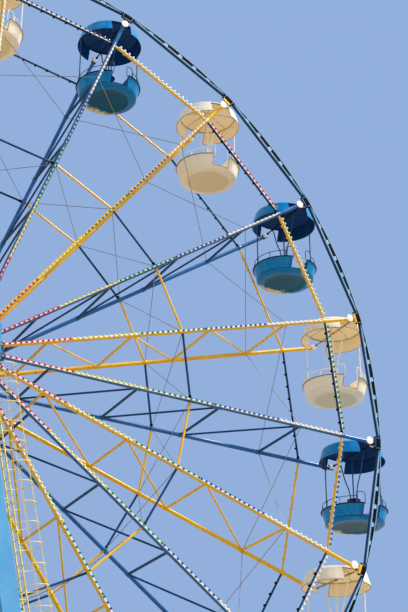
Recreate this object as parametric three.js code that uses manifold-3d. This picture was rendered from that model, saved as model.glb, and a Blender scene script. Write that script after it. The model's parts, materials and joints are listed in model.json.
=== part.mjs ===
// Fairground ferris wheel: twenty truss spokes on a hub, ring struts, a drive rim, twenty
// round open cabins that hang from the spoke ends, and two splayed A-frames with a ladder.
// Millimetres, +Z up. X runs across the wheel, Y along its axle, and the camera side is -Y.
// The origin is on the ground, under the middle of the hub.
import * as THREE from 'three';
import { mergeVertices } from 'three/addons/utils/BufferGeometryUtils.js';
import Module from 'manifold-3d';

const wasm = await Module();
wasm.setup();

// Gap that touching pieces keep
const FIT = 0.3;

// Wheel
const SPOKES = 20;
const BAY = (2 * Math.PI) / SPOKES;
const FIRST_SPOKE = THREE.MathUtils.degToRad(88.17); // highest spoke, from +X towards +Z
const HUB_HEIGHT = 16500;
const CHORD_PLANE = 1183; // from the middle of the wheel to either row of chords
const CHORD_END = 12060;
const FRONT_CHORD = 110;
const REAR_CHORD = 140;
const TRUSS_THICKNESS = 90;
const POST_RADII = [2300, 4800, 7250, 9780];
const POST_WIDTH = 76;
const BRACE_WIDTH = 55;

// Hub and axle
const FLANGE_APOTHEM = 1000;
const FLANGE_THICKNESS = 130;
const DRUM_RADIUS = 380;
const AXLE_RADIUS = 150;
const AXLE_HALF_LENGTH = 1960;

// Ring struts and rim
const RING_BAR = 65;
const MID_RING_RADIUS = 6350;
const OUTER_RING_RADIUS = 11150;
const RIM_TUBE_RADIUS = 12380; // at its corners, which are on the spokes
const RIM_TUBE = 80;
const BAND_INNER = 12380; // at the corners of its straight inner edge, which are on the spokes
const BAND_OUTER = 12400;
const BAND_THICKNESS = 30;
const BAND_STEPS = 120;

// Spoke end: cabin bearings, rim plate and lamp plate
const PIVOT_RADIUS = 12240;
const BEARING_HEIGHT = 200;
const PIN_END = 994; // end of the cabin's axle, from the middle of the wheel
const RIM_PLATE_TOP = 12420;
const RIM_PLATE_THICKNESS = 30;
const LAMP_RADIUS_AT = 12000;
const LAMP_PLATE = { diameter: 220, thickness: 20, front: 1315, stem: 60 };

// Cabin, measured from its axle; the front and rear sides of the ten-sided shell are open
const CABIN_SIDES = 10;
const DOORWAYS = [0, 5];
const SHELL_RADIUS = 950;
const TUB = { bottom: -2150, floor: -2090, sill: -2045, seat: -1745, rim: -1700 };
const TUB_WALL = 60;
const BOWL_RADIUS = 780;
const SILL_RADIUS = 865;
const WELL_RADIUS = 500;
const CANOPY = { top: 320, crown: 560, crease: 130, hem: -220, wall: 42, ridge: 865 };
const CABIN_AXLE = 50;
const POLE = 44;
const SIDE_ROD = { width: 30, radius: 925 };
const HANGER = { width: 46, top: 660, knee: [350, -750], foot: 150 };
const TABLE = { radius: 200, top: -1340, thickness: 40, sides: 8 };

// Supports
const HEAD = { y: 1700, width: 1320, depth: 600, top: 480, bottom: -1900 };
const LEG_WIDTH = 520;
const LEG_DEPTH = 500;
const LEG_TOP_X = 324;
const LEG_FOOT = { x: 3040, y: 2650 };
const BASE = { width: 800, height: 300, overhang: 700 };
const TIE = { height: 260, depth: 400, z: 5200 };
const LADDER = { rail: 50, width: 300, rung: 40, pitch: 900, standoff: 190, bracket: 60 };
const LADDER_SPAN = { above_base: 600, below_head: 200, pitches_per_bracket: 4 };

function weld(geometry) {
  const solid = geometry.clone();
  solid.deleteAttribute('normal');
  solid.deleteAttribute('uv');
  const merged = mergeVertices(solid, 1e-3);
  const at = merged.attributes.position;
  const corner = (i) => new THREE.Vector3().fromBufferAttribute(at, i);
  const kept = [];
  let volume = 0;
  for (let t = 0; t < merged.index.count; t += 3) {
    const [a, b, c] = [0, 1, 2].map((k) => merged.index.getX(t + k));
    if (a === b || b === c || c === a) continue;
    volume += corner(a).dot(corner(b).cross(corner(c)));
    kept.push(a, b, c);
  }
  merged.setIndex(volume < 0 ? kept.reverse() : kept);
  return merged;
}

function toSolid(geometry) {
  const closed = weld(geometry);
  const vertProperties = new Float32Array(closed.attributes.position.array);
  const triVerts = new Uint32Array(closed.index.array);
  return new wasm.Manifold(new wasm.Mesh({ numProp: 3, vertProperties, triVerts }));
}

function toGeometry(solid) {
  const mesh = solid.getMesh();
  const geometry = new THREE.BufferGeometry();
  geometry.setAttribute('position', new THREE.BufferAttribute(mesh.vertProperties, 3));
  geometry.setIndex(new THREE.BufferAttribute(mesh.triVerts, 1));
  geometry.computeVertexNormals();
  return geometry;
}

const join = (...geometries) =>
  geometries.map(toSolid).reduce((whole, next) => whole.add(next));

function box(from, to) {
  const size = to.map((high, axis) => high - from[axis]);
  const middle = to.map((high, axis) => (high + from[axis]) / 2);
  return new THREE.BoxGeometry(...size).translate(...middle);
}

// A ring or turned piece about the Y axis, with its corners on the spokes
function turned(profile, sides, startAngle = Math.PI / 2 - FIRST_SPOKE) {
  const points = profile.map(([radius, y]) => new THREE.Vector2(radius, y));
  return new THREE.LatheGeometry(points, sides, startAngle);
}

// A turned piece about the vertical axis, with the middle of a side towards -Y
function turnedUpright(profile, sides) {
  const start = Math.PI + Math.PI / sides;
  return turned(profile, sides, start).rotateX(Math.PI / 2);
}

// A shell about the vertical axis whose doorway sides have a smaller profile than its walled
// sides, both given anticlockwise. Where the two meet, the wall's own section closes its end.
function shellWithDoorways(doorProfile, wallProfile, wallSection) {
  const corners = [];
  const at = ([radius, z], side) => {
    const angle = ((side - 0.5) * 2 * Math.PI) / CABIN_SIDES - Math.PI / 2;
    return [radius * Math.cos(angle), radius * Math.sin(angle), z];
  };
  const face = (...points) => corners.push(...points.flat());
  const isDoor = (side) => DOORWAYS.includes(side % CABIN_SIDES);
  for (let side = 0; side < CABIN_SIDES; side += 1) {
    const profile = isDoor(side) ? doorProfile : wallProfile;
    for (let k = 0; k + 1 < profile.length; k += 1) {
      const [low, high] = [profile[k], profile[k + 1]];
      face(at(low, side), at(low, side + 1), at(high, side + 1));
      face(at(low, side), at(high, side + 1), at(high, side));
    }
    if (isDoor(side) === isDoor(side + 1)) continue;
    const flat = wallSection.map(([radius, z]) => new THREE.Vector2(radius, z));
    for (const triangle of THREE.ShapeUtils.triangulateShape(flat, [])) {
      const points = triangle.map((k) => at(wallSection[k], side + 1));
      face(...(isDoor(side) ? points : points.reverse()));
    }
  }
  const shell = new THREE.BufferGeometry();
  shell.setAttribute('position', new THREE.Float32BufferAttribute(corners, 3));
  return shell;
}

// A flat outline as a plate centred on its own plane, with its holes cut through
function plate(outline, holes, thickness) {
  const slab = (points, depth) => {
    const shape = new THREE.Shape(points.map(([x, y]) => new THREE.Vector2(x, y)));
    const options = { depth, bevelEnabled: false };
    return new THREE.ExtrudeGeometry(shape, options).translate(0, 0, -depth / 2);
  };
  if (holes.length === 0) return slab(outline, thickness);
  const cut = (solid, hole) => solid.subtract(toSolid(slab(hole, 2 * thickness)));
  return toGeometry(holes.reduce(cut, toSolid(slab(outline, thickness))));
}

// A straight bar of rectangular section between two points, with level ends
function slantedBar(low, high, width, depth) {
  const bar = box([-width / 2, -depth / 2, 0], [width / 2, depth / 2, 1]);
  const at = bar.attributes.position;
  for (let i = 0; i < at.count; i += 1) {
    const share = at.getZ(i);
    const x = at.getX(i) + THREE.MathUtils.lerp(low[0], high[0], share);
    const y = at.getY(i) + THREE.MathUtils.lerp(low[1], high[1], share);
    at.setXYZ(i, x, y, THREE.MathUtils.lerp(low[2], high[2], share));
  }
  bar.computeVertexNormals();
  return bar;
}

// The two open triangles of one truss bay, on either side of its diagonal
function bayHoles(inner, outer, front, rear, frontFirst) {
  const run = outer - inner;
  const rise = rear - front;
  const diagonal = Math.hypot(run, rise);
  const alongRun = (BRACE_WIDTH / 2) * (diagonal / rise);
  const alongRise = (BRACE_WIDTH / 2) * (diagonal / run);
  const [start, end] = frontFirst ? [front, rear] : [rear, front];
  const step = frontFirst ? alongRise : -alongRise;
  return [
    [[inner + alongRun, start], [outer, start], [outer, end - step]],
    [[inner, start + step], [outer - alongRun, end], [inner, end]],
  ];
}

// A spoke lies in the plane of the axle: its own X runs outwards and its Y along the axle
function spokeGeometry(frontFirst) {
  const frontFace = -CHORD_PLANE - FRONT_CHORD / 2;
  const frontInside = -CHORD_PLANE + FRONT_CHORD / 2;
  const rearFace = CHORD_PLANE + REAR_CHORD / 2;
  const rearInside = CHORD_PLANE - REAR_CHORD / 2;
  const root = FLANGE_APOTHEM + FIT;
  const bearing = PIN_END + FIT;
  const bearingTop = PIVOT_RADIUS + BEARING_HEIGHT / 2;
  const bearingFoot = PIVOT_RADIUS - BEARING_HEIGHT / 2;
  const rimSeat = -CHORD_PLANE + RIM_TUBE / 2 + FIT;
  const half = POST_WIDTH / 2;
  const firstPost = POST_RADII[0] - half;
  const lastPost = POST_RADII[POST_RADII.length - 1] + half;
  const lampBack = LAMP_PLATE.thickness - LAMP_PLATE.front;
  const lampHalf = LAMP_PLATE.diameter / 2;
  const stemHalf = LAMP_PLATE.stem / 2;
  const outline = [
    [root, frontFace],
    [LAMP_RADIUS_AT - stemHalf, frontFace],
    [LAMP_RADIUS_AT - stemHalf, lampBack],
    [LAMP_RADIUS_AT - lampHalf, lampBack],
    [LAMP_RADIUS_AT - lampHalf, -LAMP_PLATE.front],
    [LAMP_RADIUS_AT + lampHalf, -LAMP_PLATE.front],
    [LAMP_RADIUS_AT + lampHalf, lampBack],
    [LAMP_RADIUS_AT + stemHalf, lampBack],
    [LAMP_RADIUS_AT + stemHalf, frontFace],
    [CHORD_END, frontFace],
    [CHORD_END, rimSeat],
    [RIM_PLATE_TOP, rimSeat],
    [RIM_PLATE_TOP, rimSeat + RIM_PLATE_THICKNESS],
    [bearingTop, rimSeat + RIM_PLATE_THICKNESS],
    [bearingTop, -bearing],
    [bearingFoot, -bearing],
    [bearingFoot, frontInside],
    [lastPost, frontInside],
    [lastPost, rearInside],
    [bearingFoot, rearInside],
    [bearingFoot, bearing],
    [bearingTop, bearing],
    [bearingTop, rearFace],
    [root, rearFace],
    [root, rearInside],
    [firstPost, rearInside],
    [firstPost, frontInside],
    [root, frontInside],
  ];
  const holes = [];
  for (let i = 0; i + 1 < POST_RADII.length; i += 1) {
    const inner = POST_RADII[i] + half;
    const outer = POST_RADII[i + 1] - half;
    holes.push(...bayHoles(inner, outer, frontInside, rearInside, frontFirst));
  }
  return plate(outline, holes, TRUSS_THICKNESS);
}

function hubGeometry() {
  const inside = CHORD_PLANE - FLANGE_THICKNESS / 2;
  const outside = CHORD_PLANE + FLANGE_THICKNESS / 2;
  const flange = FLANGE_APOTHEM / Math.cos(BAY / 2);
  const half = [
    [AXLE_RADIUS, AXLE_HALF_LENGTH],
    [AXLE_RADIUS, outside],
    [flange, outside],
    [flange, inside],
    [DRUM_RADIUS, inside],
  ];
  const lower = half.map(([radius, y]) => [radius, -y]);
  const profile = [[0, -AXLE_HALF_LENGTH], ...lower, ...half.reverse(), [0, AXLE_HALF_LENGTH]];
  return turned(profile, SPOKES, Math.PI / 2 - FIRST_SPOKE + BAY / 2);
}

function ringGeometry(inner, outer, near, far, sides) {
  const profile = [[inner, near], [outer, near], [outer, far], [inner, far], [inner, near]];
  return turned(profile, sides);
}

// A ring of struts that passes just outside one row of chords
function strutRing(radius, front) {
  const face = front
    ? -CHORD_PLANE - FRONT_CHORD / 2 - FIT - RING_BAR
    : CHORD_PLANE + REAR_CHORD / 2 + FIT;
  return ringGeometry(radius - RING_BAR / 2, radius + RING_BAR / 2, face, face + RING_BAR, SPOKES);
}

function rimTubes() {
  const half = RIM_TUBE / 2;
  const near = -CHORD_PLANE - half;
  return ringGeometry(RIM_TUBE_RADIUS - half, RIM_TUBE_RADIUS + half, near, near + RIM_TUBE, SPOKES);
}

// Round outside, with a straight inner edge in each bay that runs along the rim tube
function driveBand() {
  const middle = -CHORD_PLANE - RIM_TUBE / 2 - FIT - BAND_THICKNESS / 2;
  const ring = (radius, steps) => Array.from({ length: steps }, (_, k) => {
    const angle = FIRST_SPOKE + (k * 2 * Math.PI) / steps;
    return [radius * Math.cos(angle), radius * Math.sin(angle)];
  });
  const band = plate(ring(BAND_OUTER, BAND_STEPS), [ring(BAND_INNER, SPOKES)], BAND_THICKNESS);
  return band.rotateX(Math.PI / 2).translate(0, middle, 0);
}

// The round tub with its bench and foot well, open down to the sill at both doorways
function tubGeometry() {
  const under = [[0, TUB.bottom], [BOWL_RADIUS, TUB.bottom + 20], [SILL_RADIUS, TUB.sill]];
  const well = [[WELL_RADIUS, TUB.sill], [WELL_RADIUS, TUB.floor], [0, TUB.floor]];
  const wall = [
    [SHELL_RADIUS, TUB.rim],
    [SHELL_RADIUS - TUB_WALL, TUB.rim],
    [SHELL_RADIUS - TUB_WALL, TUB.seat],
    [WELL_RADIUS, TUB.seat],
  ];
  const section = [[SILL_RADIUS, TUB.sill], ...wall, [WELL_RADIUS, TUB.sill]];
  return shellWithDoorways([...under, ...well], [...under, ...wall, ...well], section);
}

// The canopy, with its skirt left out over both doorways
function canopyGeometry() {
  const inner = SHELL_RADIUS - CANOPY.wall;
  const edge = [CANOPY.ridge, CANOPY.crease];
  const innerEdge = [CANOPY.ridge - CANOPY.wall, CANOPY.crease - 18];
  const skirt = [[inner, CANOPY.hem], [SHELL_RADIUS, CANOPY.hem]];
  const inside = [[0, CANOPY.top - 60], innerEdge];
  const outside = [edge, [CANOPY.crown, CANOPY.top - 70], [0, CANOPY.top]];
  const section = [innerEdge, ...skirt, edge];
  return shellWithDoorways([...inside, ...outside], [...inside, ...skirt, ...outside], section);
}

// One hanger, a bent bar from near an end of the axle down to the table
function hangerGeometry(side) {
  const half = HANGER.width / 2;
  const foot = TABLE.top - TABLE.thickness / 2;
  const outline = [
    [HANGER.top - half, 0],
    [HANGER.knee[0] - half, HANGER.knee[1]],
    [HANGER.foot - half, foot],
    [HANGER.foot + half, foot],
    [HANGER.knee[0] + half, HANGER.knee[1] - half],
    [HANGER.top + half, 0],
  ];
  const sided = outline.map(([y, z]) => [side * y, z]);
  return plate(sided, [], HANGER.width).rotateX(Math.PI / 2).rotateZ(Math.PI / 2);
}

function cabinGeometry() {
  const table = [
    [0, TABLE.top - TABLE.thickness],
    [TABLE.radius, TABLE.top - TABLE.thickness],
    [TABLE.radius, TABLE.top],
    [0, TABLE.top],
  ];
  const halfAxle = CABIN_AXLE / 2;
  const halfPole = POLE / 2;
  const halfRod = SIDE_ROD.width / 2;
  const rod = (side) => box(
    [side * SIDE_ROD.radius - halfRod, -halfRod, TUB.rim - SIDE_ROD.width],
    [side * SIDE_ROD.radius + halfRod, halfRod, CANOPY.hem + SIDE_ROD.width],
  );
  return toGeometry(join(
    tubGeometry(),
    canopyGeometry(),
    box([-halfAxle, -PIN_END, -halfAxle], [halfAxle, PIN_END, halfAxle]),
    box([-halfPole, -halfPole, TUB.floor - halfPole], [halfPole, halfPole, CANOPY.top - halfPole]),
    turnedUpright(table, TABLE.sides),
    hangerGeometry(-1),
    hangerGeometry(1),
    rod(-1),
    rod(1),
  ));
}

// Supports: the head holds the axle's end, and both legs stand under it
function headGeometry(side) {
  const low = [-HEAD.width / 2, side * HEAD.y - HEAD.depth / 2, HUB_HEIGHT + HEAD.bottom];
  const high = [HEAD.width / 2, side * HEAD.y + HEAD.depth / 2, HUB_HEIGHT + HEAD.top];
  const boreRadius = (AXLE_RADIUS + FIT) / Math.cos(BAY / 2);
  const bore = [[0, -HEAD.depth], [boreRadius, -HEAD.depth], [boreRadius, HEAD.depth], [0, HEAD.depth]];
  const cutter = turned(bore, SPOKES).translate(0, side * HEAD.y, HUB_HEIGHT);
  return toGeometry(toSolid(box(low, high)).subtract(toSolid(cutter)));
}

function legEnds(side, hand) {
  const low = [hand * LEG_FOOT.x, side * LEG_FOOT.y, BASE.height + FIT];
  const high = [hand * LEG_TOP_X, side * HEAD.y, HUB_HEIGHT + HEAD.bottom - FIT];
  return { low, high };
}

// Middle of a leg at a given height
function legAt(side, hand, z) {
  const { low, high } = legEnds(side, hand);
  const share = (z - low[2]) / (high[2] - low[2]);
  return low.map((value, axis) => THREE.MathUtils.lerp(value, high[axis], share));
}

function legGeometry(side, hand) {
  const { low, high } = legEnds(side, hand);
  return slantedBar(low, high, LEG_WIDTH, LEG_DEPTH);
}

// A level tie between the two legs of one A-frame
function tieGeometry(side) {
  const middle = legAt(side, 1, TIE.z);
  const slope = (legAt(side, 1, TIE.z + 1)[0] - middle[0]) * (TIE.height / 2);
  const reach = middle[0] - LEG_WIDTH / 2 - FIT;
  const outline = [
    [-reach + slope, -TIE.height / 2],
    [reach - slope, -TIE.height / 2],
    [reach + slope, TIE.height / 2],
    [-reach - slope, TIE.height / 2],
  ];
  return plate(outline, [], TIE.depth).rotateX(Math.PI / 2).translate(0, middle[1], TIE.z);
}

function baseBeam(hand) {
  const reach = LEG_FOOT.y + BASE.overhang;
  const middle = hand * LEG_FOOT.x;
  const low = [middle - BASE.width / 2, -reach, 0];
  return box(low, [middle + BASE.width / 2, reach, BASE.height]);
}

function groundTie(side) {
  const reach = LEG_FOOT.x - BASE.width / 2 - FIT;
  const low = [-reach, side * LEG_FOOT.y - TIE.depth / 2, 0];
  return box(low, [reach, side * LEG_FOOT.y + TIE.depth / 2, TIE.height]);
}

// The ladder stands off the outer side of the front right leg, with its brackets against it
function ladderGeometry() {
  const bottom = BASE.height + LADDER_SPAN.above_base;
  const length = HUB_HEIGHT + HEAD.bottom - LADDER_SPAN.below_head - bottom;
  const halfWidth = LADDER.width / 2;
  const inside = halfWidth - LADDER.rail;
  const legFace = LEG_WIDTH / 2 + FIT;
  const ladderPlane = legFace + LADDER.standoff + LADDER.rail / 2;
  const frame = (half, low, high) => [[-half, low], [half, low], [half, high], [-half, high]];
  const openings = [];
  const brackets = [];
  for (let n = 0; (n + 1.5) * LADDER.pitch < length; n += 1) {
    const low = (n + 0.5) * LADDER.pitch;
    openings.push(frame(inside, low, low + LADDER.pitch - LADDER.rung));
    if (n % LADDER_SPAN.pitches_per_bracket) continue;
    for (const y of [-halfWidth + LADDER.bracket / 2, halfWidth - LADDER.bracket / 2]) {
      const corner = [legFace, y - LADDER.bracket / 4, low];
      const far = [ladderPlane, y + LADDER.bracket / 4, low + LADDER.bracket];
      brackets.push(box(corner, far));
    }
  }
  const flat = plate(frame(halfWidth, 0, length), openings, LADDER.rail);
  flat.rotateX(Math.PI / 2).rotateZ(Math.PI / 2).translate(ladderPlane, 0, 0);
  const ladder = toGeometry(join(flat, ...brackets));
  const at = ladder.attributes.position;
  for (let i = 0; i < at.count; i += 1) {
    const z = bottom + at.getZ(i);
    const [x, y] = legAt(-1, 1, z);
    at.setXYZ(i, at.getX(i) + x, at.getY(i) + y, z);
  }
  return ladder;
}

const PAINT = {
  yellow: new THREE.MeshStandardMaterial({ color: 0xf2b90f, roughness: 0.5, metalness: 0 }),
  blue: new THREE.MeshStandardMaterial({ color: 0x1f5f9e, roughness: 0.5, metalness: 0 }),
  lightBlue: new THREE.MeshStandardMaterial({ color: 0x4fa3d9, roughness: 0.45, metalness: 0 }),
  rimBlue: new THREE.MeshStandardMaterial({ color: 0x8ec3ec, roughness: 0.5, metalness: 0 }),
  darkBlue: new THREE.MeshStandardMaterial({ color: 0x1c3f7c, roughness: 0.5, metalness: 0 }),
  ivoryShell: new THREE.MeshStandardMaterial({ color: 0xf3ede0, roughness: 0.35, metalness: 0 }),
  blueShell: new THREE.MeshStandardMaterial({ color: 0x12a9e0, roughness: 0.35, metalness: 0 }),
  steel: new THREE.MeshStandardMaterial({ color: 0x8f979e, roughness: 0.45, metalness: 0.8 }),
};

const ferrisWheel = new THREE.Group();

function addTo(group, name, geometry, material) {
  const mesh = new THREE.Mesh(geometry, material);
  mesh.name = name;
  group.add(mesh);
  return mesh;
}

const wheel = new THREE.Group();
wheel.position.z = HUB_HEIGHT;
ferrisWheel.add(wheel);

const spokeShapes = [spokeGeometry(true), spokeGeometry(false)];
const cabinShape = cabinGeometry();
const shellPaint = [PAINT.ivoryShell, PAINT.blueShell];
const spokePaint = [PAINT.yellow, PAINT.blue];
for (let i = 0; i < SPOKES; i += 1) {
  const number = String(i + 1).padStart(2, '0');
  const angle = FIRST_SPOKE - i * BAY;
  const kind = i % 2;
  addTo(wheel, `spoke_${number}`, spokeShapes[kind], spokePaint[kind]).rotation.y = -angle;
  const cabin = addTo(wheel, `cabin_${number}`, cabinShape, shellPaint[kind]);
  cabin.position.set(PIVOT_RADIUS * Math.cos(angle), 0, PIVOT_RADIUS * Math.sin(angle));
}

addTo(wheel, 'hub', hubGeometry(), PAINT.steel);
addTo(wheel, 'mid_ring_front', strutRing(MID_RING_RADIUS, true), PAINT.blue);
addTo(wheel, 'mid_ring_rear', strutRing(MID_RING_RADIUS, false), PAINT.blue);
addTo(wheel, 'outer_ring_front', strutRing(OUTER_RING_RADIUS, true), PAINT.yellow);
addTo(wheel, 'outer_ring_rear', strutRing(OUTER_RING_RADIUS, false), PAINT.yellow);
addTo(wheel, 'rim_tubes', rimTubes(), PAINT.darkBlue);
addTo(wheel, 'drive_band', driveBand(), PAINT.rimBlue);

for (const [row, side] of [['front', -1], ['rear', 1]]) {
  addTo(ferrisWheel, `${row}_bearing_head`, headGeometry(side), PAINT.lightBlue);
  addTo(ferrisWheel, `${row}_left_leg`, legGeometry(side, -1), PAINT.lightBlue);
  addTo(ferrisWheel, `${row}_right_leg`, legGeometry(side, 1), PAINT.lightBlue);
  addTo(ferrisWheel, `${row}_leg_tie`, tieGeometry(side), PAINT.lightBlue);
  addTo(ferrisWheel, `${row}_ground_tie`, groundTie(side), PAINT.steel);
}
addTo(ferrisWheel, 'left_base_beam', baseBeam(-1), PAINT.steel);
addTo(ferrisWheel, 'right_base_beam', baseBeam(1), PAINT.steel);
addTo(ferrisWheel, 'ladder', ladderGeometry(), PAINT.yellow);

export default ferrisWheel;
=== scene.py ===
# %% [markdown]
# # A ferris wheel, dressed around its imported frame
# Twenty truss spokes stand on a hub, ring struts and a drive rim tie them together, and a round
# open cabin hangs between the spoke ends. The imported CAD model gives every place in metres: X runs
# across the wheel, Y along its axle, Z up, and the origin is on the ground under the hub. This
# lesson makes the visible pieces around that frame. What repeats is stamped or strung by Geometry
# Nodes, turned parts come from one small revolving function, and every finish is made of nodes.

# %% Load the frame
import json
import math

import bmesh
import bpy
from mathutils import Matrix, Vector

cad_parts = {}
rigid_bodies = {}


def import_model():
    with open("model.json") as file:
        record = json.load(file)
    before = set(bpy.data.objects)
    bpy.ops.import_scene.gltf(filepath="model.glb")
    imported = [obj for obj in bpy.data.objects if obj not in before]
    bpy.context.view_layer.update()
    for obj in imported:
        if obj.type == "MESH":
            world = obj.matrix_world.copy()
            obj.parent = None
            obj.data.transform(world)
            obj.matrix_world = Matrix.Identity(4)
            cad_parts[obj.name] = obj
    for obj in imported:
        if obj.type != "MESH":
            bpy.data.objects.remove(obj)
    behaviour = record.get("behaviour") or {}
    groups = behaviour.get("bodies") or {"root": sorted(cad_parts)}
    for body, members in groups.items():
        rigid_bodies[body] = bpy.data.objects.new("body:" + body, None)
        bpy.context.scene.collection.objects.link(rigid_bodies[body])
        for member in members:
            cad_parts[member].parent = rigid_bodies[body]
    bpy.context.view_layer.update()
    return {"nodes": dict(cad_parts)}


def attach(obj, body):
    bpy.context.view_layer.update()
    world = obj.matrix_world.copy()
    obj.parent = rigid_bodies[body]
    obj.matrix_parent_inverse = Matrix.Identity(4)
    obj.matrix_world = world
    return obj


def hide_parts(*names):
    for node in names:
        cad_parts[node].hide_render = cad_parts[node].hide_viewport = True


def in_scene(name, data):
    made = bpy.data.objects.new(name, data)
    bpy.context.scene.collection.objects.link(made)
    return made


for leftover in list(bpy.data.objects):
    bpy.data.objects.remove(leftover)
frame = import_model()

# %% [markdown]
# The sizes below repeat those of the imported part, so that each visible piece lies on the solid
# that it stands for. A spoke is named by its number from the highest one, clockwise as seen from
# the front, and a half number is the middle of the bay between two spokes.

# %% Sizes of the wheel, in metres
SPOKES = 20
BAY = 2 * math.pi / SPOKES
FIRST_SPOKE = math.radians(88.17)
HUB_HEIGHT = 16.5
HUB_FACE = 1.0
CHORD_PLANE = 1.183
FRONT_CHORD = 0.11
REAR_CHORD = 0.115
POST_RADII = (2.3, 4.8, 7.25, 9.78)
MID_RING_RADIUS = 6.35
OUTER_RING_RADIUS = 11.15
CHORD_END = 12.06
PIVOT_RADIUS = 12.24
RIM_TUBE_RADIUS = 12.38


def spoke_angle(number):
    return FIRST_SPOKE - number * BAY


def about_axle(radius, y, angle):
    return Vector((radius * math.cos(angle), y, HUB_HEIGHT + radius * math.sin(angle)))


def on_spoke(radius, number, y):
    return about_axle(radius, y, spoke_angle(number))


def outwards(number):
    return Vector((math.cos(spoke_angle(number)), 0, math.sin(spoke_angle(number))))


def across(number):
    """The way along the rim, square to a spoke and anticlockwise."""
    out = outwards(number)
    return Vector((-out.z, 0, out.x))


def spoke_line(number, start, end):
    """From one point of a spoke to another, each given as its radius and Y."""
    return [on_spoke(radius, number, y) for radius, y in (start, end)]


def bay_line(radius, bay, start, end):
    """From the spoke before a bay to the one after it, from one Y to another."""
    return [on_spoke(radius, bay, start), on_spoke(radius, bay + 1, end)]


FRONTWARDS = Vector((0, -1, 0))
REARWARDS = Vector((0, 1, 0))

# %% [markdown]
# The camera stands on the ground, left of the wheel and in front of it, and looks steeply up at
# its right half through a long lens. Its place and turn were solved from the spoke ends. The
# sensor is fitted to the tall side of the frame, so the picture keeps its shape at any width.

# %% Camera
CAMERA_PLACE = (-10.178, -33.274, 1.592)
CAMERA_RIGHT = (0.8843834, -0.46676118, 0)
CAMERA_UP = (-0.20376498, -0.38607831, 0.89967959)
CAMERA_FORWARD = (0.41993551, 0.7956617, 0.43655083)
camera_data = bpy.data.cameras.new("camera")
camera_data.sensor_fit = "VERTICAL"
camera_data.sensor_height = 36
camera_data.lens = 85.55
camera_data.clip_end = 500
camera = in_scene("camera", camera_data)
camera_axes = (CAMERA_RIGHT, CAMERA_UP, tuple(-part for part in CAMERA_FORWARD))
camera.matrix_world = Matrix.Translation(CAMERA_PLACE) @ Matrix(camera_axes).transposed().to_4x4()
bpy.context.scene.camera = camera
print("camera looks along", CAMERA_FORWARD)

# %% [markdown]
# ## Helpers
# Colours are written as sRGB hex values, as a picture editor shows them, and one function turns
# them to the linear values that the shader sockets take. One more adds any node, to a material or
# to a Geometry Nodes tree, with its settings, its values and its links.


# %% Colour and node helpers
def linear(code):
    channels = [int(code[at:at + 2], 16) / 255 for at in (1, 3, 5)]
    light = [c / 12.92 if c <= 0.04045 else ((c + 0.055) / 1.055) ** 2.4 for c in channels]
    return (*light, 1.0)


def add(tree, kind, inputs=None, **settings):
    node = tree.nodes.new(kind)
    for name, value in settings.items():
        setattr(node, name, value)
    for name, value in (inputs or {}).items():
        if isinstance(value, bpy.types.NodeSocket):
            tree.links.new(value, node.inputs[name])
        else:
            node.inputs[name].default_value = value
    return node


# %% [markdown]
# Two kinds of base mesh feed the trees. A wire is a mesh of loose edges: each run of points
# becomes a tube, and carries its radius as an attribute. A row of places is a mesh of loose
# points, each with the direction its piece faces, the direction it lies along, and its size.


# %% Base meshes: wires and rows of places
WHOLE = (1, 1, 1)


def set_attribute(mesh, name, kind, values):
    attribute = mesh.attributes.new(name, kind, "POINT")
    if kind == "FLOAT":
        attribute.data.foreach_set("value", values)
    else:
        attribute.data.foreach_set("vector", [part for value in values for part in value])


def wire(runs):
    """Each run is (points, radius) or (points, radius, closed)."""
    points, edges, radii = [], [], []
    for corners, radius, *closed in runs:
        first = len(points)
        points += [tuple(corner) for corner in corners]
        edges += [(first + k, first + k + 1) for k in range(len(corners) - 1)]
        if closed and closed[0]:
            edges.append((len(points) - 1, first))
        radii += [radius] * len(corners)
    mesh = bpy.data.meshes.new("wire")
    mesh.from_pydata(points, edges, [])
    set_attribute(mesh, "radius", "FLOAT", radii)
    return mesh


def places(rows):
    """Each row is (point, facing, along, size)."""
    mesh = bpy.data.meshes.new("places")
    mesh.from_pydata([tuple(row[0]) for row in rows], [], [])
    for at, name in ((1, "facing"), (2, "along"), (3, "size")):
        set_attribute(mesh, name, "FLOAT_VECTOR", [row[at] for row in rows])
    return mesh


# %% [markdown]
# Three trees do the repeated work. The tube tree sweeps a circle along each run of a wire. The
# stamp tree puts a small template on each place, turned and scaled by the place's attributes. The
# string tree walks along runs at an even pitch and sets a lamp at each step, as an electrician
# strings bulbs. Each ends in Realize Instances and Set Material, because instances are lost when
# the model is exported.


# %% Start and end of a tree
def new_tree(name, sockets):
    tree = bpy.data.node_groups.new(name, "GeometryNodeTree")
    tree.is_modifier = True
    tree.interface.new_socket("Geometry", in_out="INPUT", socket_type="NodeSocketGeometry")
    for label, kind in {**sockets, "Material": "NodeSocketMaterial"}.items():
        tree.interface.new_socket(label, in_out="INPUT", socket_type=kind)
    tree.interface.new_socket("Geometry", in_out="OUTPUT", socket_type="NodeSocketGeometry")
    return tree, add(tree, "NodeGroupInput").outputs


def finish_tree(tree, geometry, material):
    real = add(tree, "GeometryNodeRealizeInstances", {"Geometry": geometry}).outputs[0]
    shaded = add(tree, "GeometryNodeSetShadeSmooth", {"Geometry": real}).outputs[0]
    coated = add(tree, "GeometryNodeSetMaterial", {"Geometry": shaded, "Material": material})
    add(tree, "NodeGroupOutput", {"Geometry": coated.outputs[0]})
    return tree


# %% [markdown]
# A circle swept along a curve gives a tube of any path, and its scale takes the radius that the
# wire carries. A copy is turned by two directions, because they say more than three angles do.

# %% Tube, stamp and string trees
READER = "GeometryNodeInputNamedAttribute"


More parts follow.
